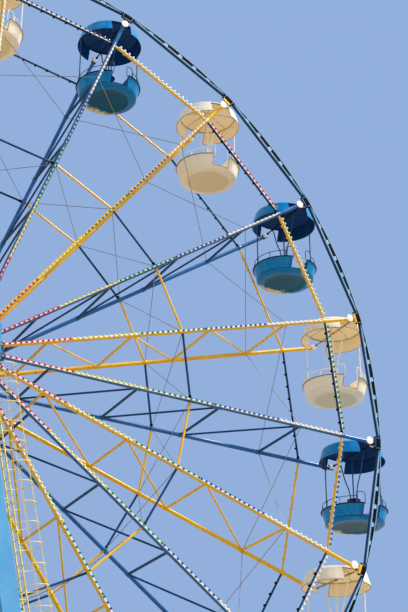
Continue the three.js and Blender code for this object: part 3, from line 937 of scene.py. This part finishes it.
# A black ring inside the pale edge, painted shade under the edge.
band_ring("band_seal", SHADE_RING_INNER, SHADE_RING_OUTER, SHADE_RING_PROUD, RUBBER_AND_PAINTED_SHADE)
bays = []
for bay in range(SPOKES):
    spot = on_spoke(BAND_CHORD, bay + 0.5, BAND_MIDDLE)
    bays.append((spot, FRONTWARDS, -across(bay + 0.5), WHOLE))
stamped("drive_band", bays, BAY_PALE, RIM_BLUE, replaced=["drive_band"])
# Black blocks between the strips, painted shade in the recess of the band.
stamped("tread_blocks", bays, BAY_BLOCKS, RUBBER_AND_PAINTED_SHADE)
print("band shade blocks:", len(blocks) * SPOKES)

# %% [markdown]
# ## Spoke ends
# At each spoke end a bracket carries the rim, a black pad covers the splice of the band, a round
# white lamp plate stands on a stem, and a bearing on the inner side of both chords holds the
# cabin's axle. The bracket and the pad are built of boxes. A row below gives a box's kind, radius,
# shift along the rim, Y, size and lean, and a shifted box has a twin on the spoke's other side.

# %% Lamp plates, brackets, pads and bearings
LAMP_CENTRE = 12.0
LAMP_FRONT = 1.315
LAMP_THICKNESS = 0.024
LAMP = template("lamp", [revolved([
    (0, -0.075), (0.02, -0.075), (0.02, 0), (0.1, 0), (0.11, 0.006), (0.11, 0.016), (0.104, 0.02),
    (0.09, 0.017), (0.07, 0.022), (0, LAMP_THICKNESS),
], 28)])
BEARING = template("bearing", [revolved([
    (0.026, -0.08), (0.07, -0.08), (0.085, -0.065), (0.085, 0.02), (0.07, 0.035), (0.055, 0.08),
    (0.026, 0.08),
], 20)])
BEARINGS = ((-1.075, REARWARDS, WHOLE), (1.085, FRONTWARDS, (0.75, 0.75, 0.8)))
ARM_LEAN = 1.02
RIM_BOXES = (
    ("pad", 12.335, 0, BAND_MIDDLE, (0.284, 0.13, 0.044), 0),
    ("pad", 12.35, 0.178, BAND_MIDDLE, (0.045, 0.095, 0.036), 0),
    ("pad", 12.225, 0.162, -1.235, (0.045, 0.06, 0.038), 0),
    ("pad", 12.13, 0.05, -1.215, (0.05, 0.05, 0.04), ARM_LEAN),
    ("plate", 12.335, 0.149, BAND_MIDDLE, (0.014, 0.13, 0.036), 0),
    ("bracket", 12.225, 0, -1.235, (0.28, 0.07, 0.034), 0),
    ("bracket", 12.22, 0, -1.14, (0.15, 0.4, 0.03), 0),
    ("bracket", PIVOT_RADIUS, 0, 1.15, (0.15, 0.18, 0.05), 0),
    ("bracket", 12.175, 0.07, -1.21, (0.28, 0.034, 0.03), ARM_LEAN),
)


def rim_box(number, radius, shift, y, size, lean):
    """A box whose first size lies along the rim, or leans outwards by an angle."""
    lying = math.cos(lean) * across(number) + math.sin(lean) * outwards(number)
    return on_spoke(radius, number, y) + shift * across(number), FRONTWARDS, lying, size


lamps, bearings = [], []
boxes = {"pad": [], "plate": [], "yellow": [], "blue": []}
for number in range(SPOKES):
    out = outwards(number)
    spot = on_spoke(LAMP_CENTRE, number, LAMP_THICKNESS - LAMP_FRONT)
    lamps.append((spot, FRONTWARDS, out, WHOLE))
    for y, facing, size in BEARINGS:
        bearings.append((on_spoke(PIVOT_RADIUS, number, y), facing, out, size))
    for kind, radius, shift, y, size, lean in RIM_BOXES:
        if kind == "bracket":
            kind = "blue" if number % 2 else "yellow"
        for side in (-1, 1) if shift else (1,):
            boxes[kind].append(rim_box(number, radius, side * shift, y, size, side * lean))
stamped("lamp_plates", lamps, LAMP, WHITE)
stamped("bearings", bearings, BEARING, WHITE)
stamped("splice_pads", boxes["pad"], BLOCK, RUBBER_AND_PAINTED_SHADE)
stamped("splice_plates", boxes["plate"], BLOCK, RIM_BLUE)
stamped("yellow_brackets", boxes["yellow"], BLOCK, YELLOW)
stamped("blue_brackets", boxes["blue"], BLOCK, DARK_BLUE)
print("boxes on the rim:", sum(len(rows) for rows in boxes.values()))

# %% [markdown]
# ## Hub
# The hub is a welded drum between two twenty-sided flanges, on a short thick axle. It is turned
# from one outline in twenty steps, which gives the flanges their flats, and its bolts are stamped
# in fours at the foot of every chord.

# %% Hub
FLANGE = HUB_FACE / math.cos(BAY / 2)
FLANGE_NEAR, FLANGE_FAR = 1.118, 1.248
FLANGE_EASE = 0.012
AXLE_END = 1.96
BOLT = template("bolt", [revolved([(0, 0), (0.5, 0), (0.5, 0.42), (0.42, 0.5), (0, 0.5)], 6)])
HUB_BOLT = (0.045, 0.045, 0.05)
HUB_BOLT_SHIFT = 0.09
HUB_BOLT_RADII = (0.86, 0.94)
half_hub = [
    (0, AXLE_END), (0.15, AXLE_END), (0.15, 1.4), (0.24, 1.38), (0.24, FLANGE_FAR + 0.03),
    (0.34, FLANGE_FAR), (FLANGE - FLANGE_EASE, FLANGE_FAR), (FLANGE, FLANGE_FAR - FLANGE_EASE),
    (FLANGE, FLANGE_NEAR + FLANGE_EASE), (FLANGE - FLANGE_EASE, FLANGE_NEAR),
    (0.44, FLANGE_NEAR), (0.38, FLANGE_NEAR - 0.06),
]
hub_outline = [(radius, -y) for radius, y in half_hub] + half_hub[::-1]
hub_turn = revolved(hub_outline, SPOKES, about_axle, spoke_angle(0.5))
hub = painted(solid("hub_drum", [hub_turn]), HUB_BLUE)
piece("hub_drum", hub, "wheel", ["hub"])
hub_bolts = []
for number in range(SPOKES):
    for side, facing in ((-1, FRONTWARDS), (1, REARWARDS)):
        for shift in (-HUB_BOLT_SHIFT, HUB_BOLT_SHIFT):
            for radius in HUB_BOLT_RADII:
                spot = on_spoke(radius, number, side * FLANGE_FAR) + shift * across(number)
                hub_bolts.append((spot, facing, outwards(number), HUB_BOLT))
stamped("hub_bolts", hub_bolts, BOLT, GALVANISED)
print("hub bolts:", len(hub_bolts))

# %% [markdown]
# ## Cabins
# A cabin is a round tub under a round canopy, joined by slim rods and by a pole through the
# middle. The crown of the canopy and the bowl of the tub are turned all the way round. The skirt
# and the wall, with the ring seat inside it, are swept from one doorway to the other, and end on
# upright planes, so that a doorway is as wide at the seat as at the rim. One shell is made and
# then copied to each place.

# %% Cabin shell
CANOPY_DOOR = 0.31
TUB_DOOR = 0.26
ROUND_STEPS = 72
WALL_STEPS = 30
SIDES = (0, math.pi)
CROWN = [
    (0, 0.295), (0.25, 0.29), (0.45, 0.275), (0.62, 0.247), (0.74, 0.215), (0.8, 0.19),
    (0.842, 0.162), (0.865, 0.132), (0.86, 0.118), (0.832, 0.118), (0.815, 0.132), (0.77, 0.158),
    (0.71, 0.182), (0.6, 0.212), (0.44, 0.238), (0.24, 0.252), (0, 0.256),
]
SKIRT = [
    (0.865, 0.132), (0.884, 0.065), (0.902, 0), (0.922, -0.06), (0.94, -0.12), (0.953, -0.18),
    (0.96, -0.213), (0.955, -0.222), (0.936, -0.222), (0.93, -0.21), (0.923, -0.18),
    (0.909, -0.12), (0.891, -0.06), (0.871, 0), (0.853, 0.065), (0.833, 0.119),
]
BOWL = [
    (0, -2.15), (0.3, -2.15), (0.6, -2.148), (0.62, -2.155), (0.67, -2.154), (0.73, -2.147),
    (0.78, -2.131), (0.822, -2.106), (0.848, -2.08), (0.851, -2.067), (0.842, -2.056),
    (0.825, -2.05), (0.822, -2.045), (0.5, -2.045), (0.5, -2.09), (0, -2.09),
]
WALL = [
    (0.823, -2.05), (0.836, -2.042), (0.848, -2.02), (0.862, -1.96), (0.882, -1.89), (0.905, -1.82),
    (0.93, -1.745), (0.944, -1.715), (0.942, -1.704), (0.93, -1.7), (0.912, -1.7),
    (0.9, -1.708), (0.888, -1.745), (0.52, -1.745), (0.505, -1.75), (0.5, -1.765), (0.5, -2.05),
]
UNDERSIDE_Z = -2.1
MIDWAY_Z = -1
TURNED_IN = 0.35


def half_sweep(radius, door):
    """The angle from the middle of a side to the upright plane at a doorway."""
    return math.pi / 2 - math.asin(door / radius)


def side_wall(outline, door, middle):
    points = []
    for k in range(WALL_STEPS + 1):
        for radius, z in outline:
            angle = middle + (2 * k / WALL_STEPS - 1) * half_sweep(radius, door)
            points.append(upright(radius, z, angle))
    return skinned(points, len(outline), False)


def is_inside(vertex):
    """One where the canopy's skin looks down or the tub's looks up, and where either looks in."""
    point, normal = vertex.co, vertex.normal
    inwards = -(point.x * normal.x + point.y * normal.y) / max(math.hypot(point.x, point.y), 1e-6)
    seen = -normal.z if point.z > MIDWAY_Z else normal.z
    return float(point.z > UNDERSIDE_Z and (inwards > TURNED_IN or seen > TURNED_IN))


shell_parts = [revolved(CROWN, ROUND_STEPS), revolved(BOWL, ROUND_STEPS)]
for middle in SIDES:
    shell_parts.append(side_wall(SKIRT, CANOPY_DOOR, middle))
    shell_parts.append(side_wall(WALL, TUB_DOOR, middle))
shell = solid("shell", shell_parts)
set_attribute(shell, "local", "FLOAT_VECTOR", [tuple(vertex.co) for vertex in shell.vertices])
set_attribute(shell, "inside", "FLOAT", [is_inside(vertex) for vertex in shell.vertices])
print("cabin shell:", len(shell.vertices), "vertices")

# %% [markdown]
# The metalwork of a cabin is round bar in the cabin's own colour: the pole, two rods at the
# sides, two hangers that run from the axle to the table, a hand rail on short posts above the
# rim, and a hoop to hold at each side of both doorways. All of it is one wire.

# %% Cabin metalwork
RIM_Z = -1.7
RAIL_Z = -1.5
HOOP_Z = -1.38
RAIL_RADIUS = 0.9
RAIL_STEPS = 26
POST_FOOT = 0.922
ROD_RADIUS, ROD_TOP = 0.93, -0.19
POLE_LOW, POLE_HIGH = -2.1, 0.265
HOOP_CORNER = 0.05
HOOP_FOOT, HOOP_KNEE = RIM_Z - 0.05, RIM_Z - 0.02
HOOP_FROM, HOOP_TO = math.radians(3.5), math.radians(-10.5)
RAIL_END = math.radians(-12)
POLE_BAR, SIDE_BAR, HOOP_BAR, RAIL_BAR, POST_BAR = 0.02, 0.017, 0.012, 0.011, 0.01
HANGER = (
    (0.66, 0), (0.58, -0.14), (0.51, -0.35), (0.43, -0.58), (0.35, -0.75), (0.245, -0.93),
    (0.17, -1.15), (0.14, -1.36),
)


def around(radius, z, middle, reach, steps):
    """An arc of points about the cabin's upright axis, to both sides of its middle."""
    angles = [middle + reach * (2 * k / steps - 1) for k in range(steps + 1)]
    return [upright(radius, z, angle) for angle in angles]


def hoop(outer, inner):
    """An upside-down U at the end of a wall, from its angle in the doorway to that on the rim."""
    bend = math.copysign(HOOP_CORNER / RAIL_RADIUS, inner - outer)
    turns = [math.pi / 2 * k / 4 for k in range(5)]
    points = [upright(RAIL_RADIUS, HOOP_FOOT, outer + bend)]
    points.append(upright(RAIL_RADIUS, HOOP_KNEE, outer))
    for angle, side, order in ((outer, bend, turns), (inner, -bend, turns[::-1])):
        for turn in order:
            z = HOOP_Z - HOOP_CORNER * (1 - math.sin(turn))
            points.append(upright(RAIL_RADIUS, z, angle + side * (1 - math.cos(turn))))
    points.append(upright(RAIL_RADIUS, RIM_Z, inner))
    return points


metal_runs = [([(0, 0, POLE_LOW), (0, 0, POLE_HIGH)], POLE_BAR)]
for side in (-1, 1):
    metal_runs.append(([(side * ROD_RADIUS, 0, z) for z in (RIM_Z, ROD_TOP)], SIDE_BAR))
    metal_runs.append(([(0, side * y, z) for y, z in HANGER], SIDE_BAR))
wall_end = half_sweep(RAIL_RADIUS, TUB_DOOR)
for middle in SIDES:
    for side in (-1, 1):
        ends = [middle + side * (wall_end + angle) for angle in (HOOP_FROM, HOOP_TO)]
        metal_runs.append((hoop(*ends), HOOP_BAR))
    reach = wall_end + RAIL_END
    metal_runs.append((around(RAIL_RADIUS, RAIL_Z, middle, reach, RAIL_STEPS), RAIL_BAR))
    feet = around(POST_FOOT, RIM_Z, middle, reach, 4)
    tops = around(RAIL_RADIUS, RAIL_Z, middle, reach, 4)
    metal_runs += [(post, POST_BAR) for post in zip(feet, tops)]
print("bars in a cabin:", len(metal_runs))

# %% [markdown]
# The table is turned, so it can't be part of the wire. It is joined to the bars as a mesh, because
# both have the cabin's metal paint and make one piece.

# %% Table, joined to the bars
TABLE = [
    (0, -1.38), (0.165, -1.38), (0.194, -1.37), (0.2, -1.356), (0.194, -1.344), (0.18, -1.34),
    (0, -1.34),
]


def joined(name, meshes):
    build = bmesh.new()
    for mesh in meshes:
        build.from_mesh(mesh)
    both = bpy.data.meshes.new(name)
    build.to_mesh(both)
    build.free()
    both.set_sharp_from_angle(angle=SHARP)
    return both


table = solid("table", [revolved(TABLE, 28)])
metalwork = joined("metalwork", [tubes("bars", metal_runs, WHITE, 8), table])
print("metalwork:", len(metalwork.polygons), "faces")

# %% [markdown]
# A rubber edging is pressed over every raw edge of the shell, along the hem of the canopy, up the
# sides of the doorways and round the rim of the tub, where a thicker bumper tube runs outside it.
# On the ivory cabins it is brown, which also paints the shade under the rolled lips.
# Eight ribs and a ring stiffen the crown from below. The steel axle runs across under the crown,
# through collars at the bearings, at the hangers and at the pole.

# %% Edging and axle
EDGING, BUMPER, RING_BAR, RIB_BAR = 0.011, 0.017, 0.009, 0.006
EDGE_STEPS, SILL_STEPS, RING_STEPS = 40, 12, 60
HEM = (0.948, -0.222)
TUB_RIM = (0.928, -1.701)
BUMPER_RADIUS, BUMPER_Z = 0.947, -1.712
RING = (0.822, 0.116)
SILLS = ((0.85, 0.121, CANOPY_DOOR), (0.86, -2.053, TUB_DOOR))
SKIRT_SIDE = [(0.858, 0.12), (0.874, 0.065), (0.89, 0), (0.928, -0.12), (0.942, -0.19)]
WALL_SIDE = [(0.84, -2.03), (0.862, -1.95), (0.888, -1.86), (0.918, -1.76)]
RIB = [(0.06, 0.248), (0.44, 0.234), (0.6, 0.208), (0.71, 0.178), (0.8, 0.135)]
RIBS = 8
AXLE, AXLE_HALF = 0.02, 0.994
AXLE_COLLAR, COLLAR_HALF = 0.034, 0.03
AXLE_COLLARS = (-0.95, -0.66, 0, 0.66, 0.95)


def edge_run(side, radius, z, door, middle):
    """Follows a wall's edge: up or down one doorway's side, along, and back at the other."""
    points = [upright(r, height, middle - half_sweep(r, door)) for r, height in side]
    points += around(radius, z, middle, half_sweep(radius, door), EDGE_STEPS)
    points += [upright(r, height, middle + half_sweep(r, door)) for r, height in reversed(side)]
    return points


trim_runs = []
for middle in SIDES:
    trim_runs.append((edge_run(SKIRT_SIDE, *HEM, CANOPY_DOOR, middle), EDGING))
    trim_runs.append((edge_run(WALL_SIDE, *TUB_RIM, TUB_DOOR, middle), EDGING))
    reach = half_sweep(BUMPER_RADIUS, TUB_DOOR)
    trim_runs.append((around(BUMPER_RADIUS, BUMPER_Z, middle, reach, EDGE_STEPS), BUMPER))
    for radius, z, door in SILLS:
        sill = around(radius, z, middle - math.pi / 2, math.asin(door / radius), SILL_STEPS)
        trim_runs.append((sill, EDGING))
trim_runs.append((around(*RING, math.pi, math.pi, RING_STEPS), RING_BAR))
for k in range(RIBS):
    angle = 2 * math.pi * (k + 0.5) / RIBS
    trim_runs.append(([upright(radius, z, angle) for radius, z in RIB], RIB_BAR))
axle_runs = [([(0, -AXLE_HALF, 0), (0, AXLE_HALF, 0)], AXLE)]
for y in AXLE_COLLARS:
    axle_runs.append(([(0, y - COLLAR_HALF, 0), (0, y + COLLAR_HALF, 0)], AXLE_COLLAR))
edging, axle = tubes("edging", trim_runs, RUBBER_AND_PAINTED_SHADE, 8), tubes("axle", axle_runs, RUBBER_AND_PAINTED_SHADE, 16)
trim = joined("trim", [edging, axle])
print("trim:", len(trim.polygons), "faces")

# %% [markdown]
# Each cabin has its own body, so that it stays upright as the wheel turns, and three pieces: the
# shell that stands for the CAD cabin, its metalwork and its trim.

# %% Place the cabins
# The brown edging of the ivory cabins is partly painted shade under the rolled lips.
EDGE_BROWN_AND_SHADE = moulded("brown_edging_and_painted_shade", "#A2855C", "#B69A72", 0.5, 0.0, 0.05)
EDGE_NAVY = moulded("navy_edging", "#0E1C34", "#24344C", 0.5, 0.0, 0.05)
CREAM_METAL = enamel("cream_enamel", "#F8F0DC", "#FFFBF0", "#8A6A44")
NAVY_METAL = enamel("navy_enamel", "#123A6C", "#1F528C", "#1A1E26")
cabin_parts = {"shell": shell, "metalwork": metalwork, "trim": trim}
kinds = (
    ("ivory_shell", (IVORY_SHELL, CREAM_METAL, EDGE_BROWN_AND_SHADE)),
    ("blue_shell", (BLUE_SHELL, NAVY_METAL, EDGE_NAVY)),
)
for number in range(SPOKES):
    slot, paints = kinds[number % 2]
    name = f"cabin_{number + 1:02d}"
    pivot = Matrix.Translation(on_spoke(PIVOT_RADIUS, number, 0))
    for (part, mesh), paint in zip(cabin_parts.items(), paints):
        copy = painted(mesh.copy(), paint)
        copy.transform(pivot)
        piece(f"{name}_{part}", copy, name, [name] if part == "shell" else ())
for mesh in cabin_parts.values():
    bpy.data.meshes.remove(mesh)
print("cabins:", SPOKES)

# %% [markdown]
# ## Towers
# Two A-frames of welded box section carry the axle. The CAD heads, ties and base beams already
# have the right shape, so they keep it and get the tower's enamel or the deck's. The legs are made
# again with eased edges and the flanged joints at which the real ones are bolted together for
# transport. A leg is named by its side, -1 in front, and its hand, -1 on the left.

# %% Legs
LEG_WIDTH = 0.52
LEG_DEPTH = 0.5
LEG_LOW_Z, LEG_HIGH_Z = 0.3, 14.6
LEG_LOW_X, LEG_HIGH_X = 3.04, 0.324
LEG_LOW_Y, HEAD_Y = 2.65, 1.7
SEAMS = ((0.32, 0.09), (4.0, 0.012), (7.7, 0.012), (14.55, 0.09))
SEAM_HALF = 0.02
LEG_EASE, SEAM_EASE = 0.035, 0.006
LEGS = [(side, hand) for side in (-1, 1) for hand in (-1, 1)]


def leg_at(side, hand, z):
    share = (z - LEG_LOW_Z) / (LEG_HIGH_Z - LEG_LOW_Z)
    low = Vector((hand * LEG_LOW_X, side * LEG_LOW_Y, LEG_LOW_Z))
    high = Vector((hand * LEG_HIGH_X, side * HEAD_Y, LEG_HIGH_Z))
    return low.lerp(high, share)


leg_parts, flange_parts = [], []
for leg in LEGS:
    ends = leg_at(*leg, LEG_LOW_Z), leg_at(*leg, LEG_HIGH_Z)
    leg_parts.append(slanted_box(*ends, LEG_WIDTH, LEG_DEPTH))
    for seam, proud in SEAMS:
        ends = leg_at(*leg, seam - SEAM_HALF), leg_at(*leg, seam + SEAM_HALF)
        flange_parts.append(slanted_box(*ends, LEG_WIDTH + proud, LEG_DEPTH + proud))
legs = painted(solid("tower_legs", leg_parts, LEG_EASE, 3), TOWER_BLUE)
node_names = [f"{row}_{hand}_leg" for row in ("front", "rear") for hand in ("left", "right")]
piece("tower_legs", legs, "supports", node_names)
flanges = painted(solid("leg_flanges", flange_parts, SEAM_EASE, 1), TOWER_BLUE)
piece("leg_flanges", flanges, "supports")
print("leg flanges:", len(flange_parts))

# %% [markdown]
# The bearing housings stand on both faces of each head, round the axle, with a ring of bolts.
# Foot bolts hold the legs to the base beams.

# %% Bearing housings and bolts
HEAD_HALF = 0.3
HOUSING = [(0.17, 0), (0.34, 0), (0.34, 0.03), (0.26, 0.05), (0.24, 0.09), (0.17, 0.09)]
HOUSING_STEPS = 40
HOUSING_BOLTS = 12
BOLT_CIRCLE, BOLT_SEAT = 0.3, 0.03
HOUSING_BOLT, FOOT_BOLT = (0.04, 0.04, 0.05), (0.05, 0.05, 0.06)
FOOT_BOLT_X, FOOT_BOLT_Y = (-0.22, -0.08, 0.08, 0.22), (-0.272, 0.272)
FOOT_BOLT_Z = LEG_LOW_Z + 0.04
housings, tower_bolts = [], []
for side in (-1, 1):
    for face in (-1, 1):
        near = side * HEAD_Y + face * HEAD_HALF
        outline = [(radius, near + face * y) for radius, y in HOUSING]
        housings.append(revolved(outline, HOUSING_STEPS, about_axle))
        seat = near + face * BOLT_SEAT
        for k in range(HOUSING_BOLTS):
            spot = about_axle(BOLT_CIRCLE, seat, 2 * math.pi * k / HOUSING_BOLTS)
            tower_bolts.append((spot, (0, face, 0), (1, 0, 0), HOUSING_BOLT))
for leg in LEGS:
    foot = leg_at(*leg, FOOT_BOLT_Z)
    for x in FOOT_BOLT_X:
        for y in FOOT_BOLT_Y:
            tower_bolts.append((foot + Vector((x, y, 0)), (0, 0, 1), (1, 0, 0), FOOT_BOLT))
mesh = painted(solid("axle_housings", housings), TOWER_BLUE)
piece("axle_housings", mesh, "supports")
stamped("tower_bolts", tower_bolts, BOLT, GALVANISED, "supports")
print("tower bolts:", len(tower_bolts))

tower_nodes = [f"{row}_{part}" for row in ("front", "rear") for part in ("bearing_head", "leg_tie")]
deck_nodes = ["front_ground_tie", "rear_ground_tie", "left_base_beam", "right_base_beam"]
for names, paint in ((tower_nodes, TOWER_BLUE), (deck_nodes, DECK_GREY)):
    for node_name in names:
        painted(frame["nodes"][node_name].data, paint)

# %% [markdown]
# ## Ladder
# A caged ladder climbs the outer side of the front right leg and ends against the side of the head,
# where its last hoops guard the way to the axle. Its rails, rungs, hoops and straps are all thin
# tube, so the tube tree makes it from one wire. It replaces the plain CAD ladder.

# %% Ladder and cage
LADDER_LEG = (-1, 1)
LADDER_LOW, LADDER_HIGH = 0.9, 15.2
CAGE_LOW, CAGE_HIGH = 2.9, 16.0
RUNG_PITCH = 0.3
HOOP_PITCH = 0.5
BRACKET_PITCH = 2.4
BRACKETS = 5
RAIL_HALF = 0.15
STAND_OFF = 0.215
CAGE_MIDDLE = 0.3
CAGE_RADIUS = 0.335
CAGE_SWEEP = math.pi - math.asin(RAIL_HALF / CAGE_RADIUS)
CAGE_STEPS = 24
STRAP_HIGH = CAGE_HIGH - 0.1
STRAP_ANGLES = (-1.9, -0.95, 0, 0.95, 1.9)
LADDER_RAIL, RUNG, BRACKET, CAGE_HOOP, STRAP = 0.022, 0.013, 0.016, 0.012, 0.005


def ladder_at(z, x=0.0, y=0.0):
    """A point of the ladder, which leans with the leg but stays clear of the wheel above it."""
    spot = leg_at(*LADDER_LEG, z)
    spot.y = min(spot.y, -HEAD_Y)
    return spot + Vector((LEG_WIDTH / 2 + STAND_OFF + x, y, 0))


CLIMB = (leg_at(*LADDER_LEG, LEG_HIGH_Z) - leg_at(*LADDER_LEG, LEG_LOW_Z)).normalized()
AWAY = -Vector((1, 0, 0)).cross(CLIMB).cross(CLIMB).normalized()
ASIDE = CLIMB.cross(AWAY)


def cage_at(z, angle):
    """A point of the hoop that stands square to the ladder at a height."""
    out = CAGE_MIDDLE + CAGE_RADIUS * math.cos(angle)
    return ladder_at(z) + out * AWAY + CAGE_RADIUS * math.sin(angle) * ASIDE


ladder_runs = []
for y in (-RAIL_HALF, RAIL_HALF):
    bends = [ladder_at(z, 0, y) for z in (LADDER_LOW, LEG_HIGH_Z, LADDER_HIGH)]
    ladder_runs.append((bends, LADDER_RAIL))
    for k in range(BRACKETS):
        z = CAGE_LOW + k * BRACKET_PITCH
        ladder_runs.append(([ladder_at(z, -STAND_OFF - 0.01, y), ladder_at(z, 0, y)], BRACKET))
rungs = int((LADDER_HIGH - LADDER_LOW) / RUNG_PITCH)
for k in range(rungs):
    z = LADDER_LOW + (k + 0.5) * RUNG_PITCH
    ladder_runs.append(([ladder_at(z, 0, -RAIL_HALF), ladder_at(z, 0, RAIL_HALF)], RUNG))
hoops = int((CAGE_HIGH - CAGE_LOW) / HOOP_PITCH) + 1
for k in range(hoops):
    z = CAGE_LOW + k * HOOP_PITCH
    sweep = [CAGE_SWEEP * (2 * j / CAGE_STEPS - 1) for j in range(CAGE_STEPS + 1)]
    ladder_runs.append(([cage_at(z, angle) for angle in sweep], CAGE_HOOP))
for angle in STRAP_ANGLES:
    bends = [cage_at(z, angle) for z in (CAGE_LOW, LEG_HIGH_Z, STRAP_HIGH)]
    ladder_runs.append((bends, STRAP))
mesh = tubes("caged_ladder", ladder_runs, LADDER_YELLOW, 8)
piece("caged_ladder", mesh, "supports", ["ladder"])
print("rungs:", rungs, "hoops:", hoops)

# %% [markdown]
# ## Stage and light
# A plain pale floor, an even surround, and one broad soft light from high on the right give the
# modelling of a clear day without hard edges. The surround lights the wheel with a warm lower half,
# as sunlit ground would, and a cooler upper half, and the camera sees it as one light blue.

# %% Floor, light and surround
FLOOR_REACH = 150
SUN_FROM = Vector((0.5, -0.28, 0.82))
HAZE = 0.1
for tool in TEMPLATES:
    bpy.data.objects.remove(tool)
corners = [(x * FLOOR_REACH, y * FLOOR_REACH, 0) for x, y in ((-1, -1), (1, -1), (1, 1), (-1, 1))]
floor_mesh = bpy.data.meshes.new("floor")
floor_mesh.from_pydata(corners, [], [(0, 1, 2, 3)])
FLOOR = enamel("pale_floor", "#A8A6A1", "#AEACA7", "#A3A19C", roughness=0.8, shine=0.1)
floor = in_scene("floor", painted(floor_mesh, FLOOR))
floor.location.z = -0.002
floor.visible_diffuse = False
floor.visible_glossy = False

sun_data = bpy.data.lights.new("key", "SUN")
sun_data.energy = 5.2
sun_data.angle = math.radians(8)
sun_data.color = (1.0, 0.955, 0.87)
sun = in_scene("key", sun_data)
sun.rotation_euler = (-SUN_FROM).to_track_quat("-Z", "Y").to_euler()

world = bpy.data.worlds.new("surround")
bpy.context.scene.world = world
world.use_nodes = True
sky = world.node_tree
sky.nodes.clear()
seen = add(sky, "ShaderNodeLightPath").outputs["Is Camera Ray"]
towards = add(sky, "ShaderNodeTexCoord").outputs["Generated"]
height = add(sky, "ShaderNodeSeparateXYZ", {"Vector": towards}).outputs["Z"]
above = add(sky, "ShaderNodeMapRange", {"Value": height, "From Min": -HAZE, "From Max": HAZE})
halves = {0: above.outputs[0], 6: linear("#E2D5BC"), 7: linear("#C2CCDC")}
glow = add(sky, "ShaderNodeMix", halves, data_type="RGBA").outputs[2]
shown = {0: seen, 6: glow, 7: linear("#93B0DC")}
tone = add(sky, "ShaderNodeMix", shown, data_type="RGBA").outputs[2]
surround = add(sky, "ShaderNodeBackground", {"Color": tone, "Strength": 1.0}).outputs[0]
add(sky, "ShaderNodeOutputWorld", {"Surface": surround})
bpy.context.scene.view_settings.view_transform = "Standard"
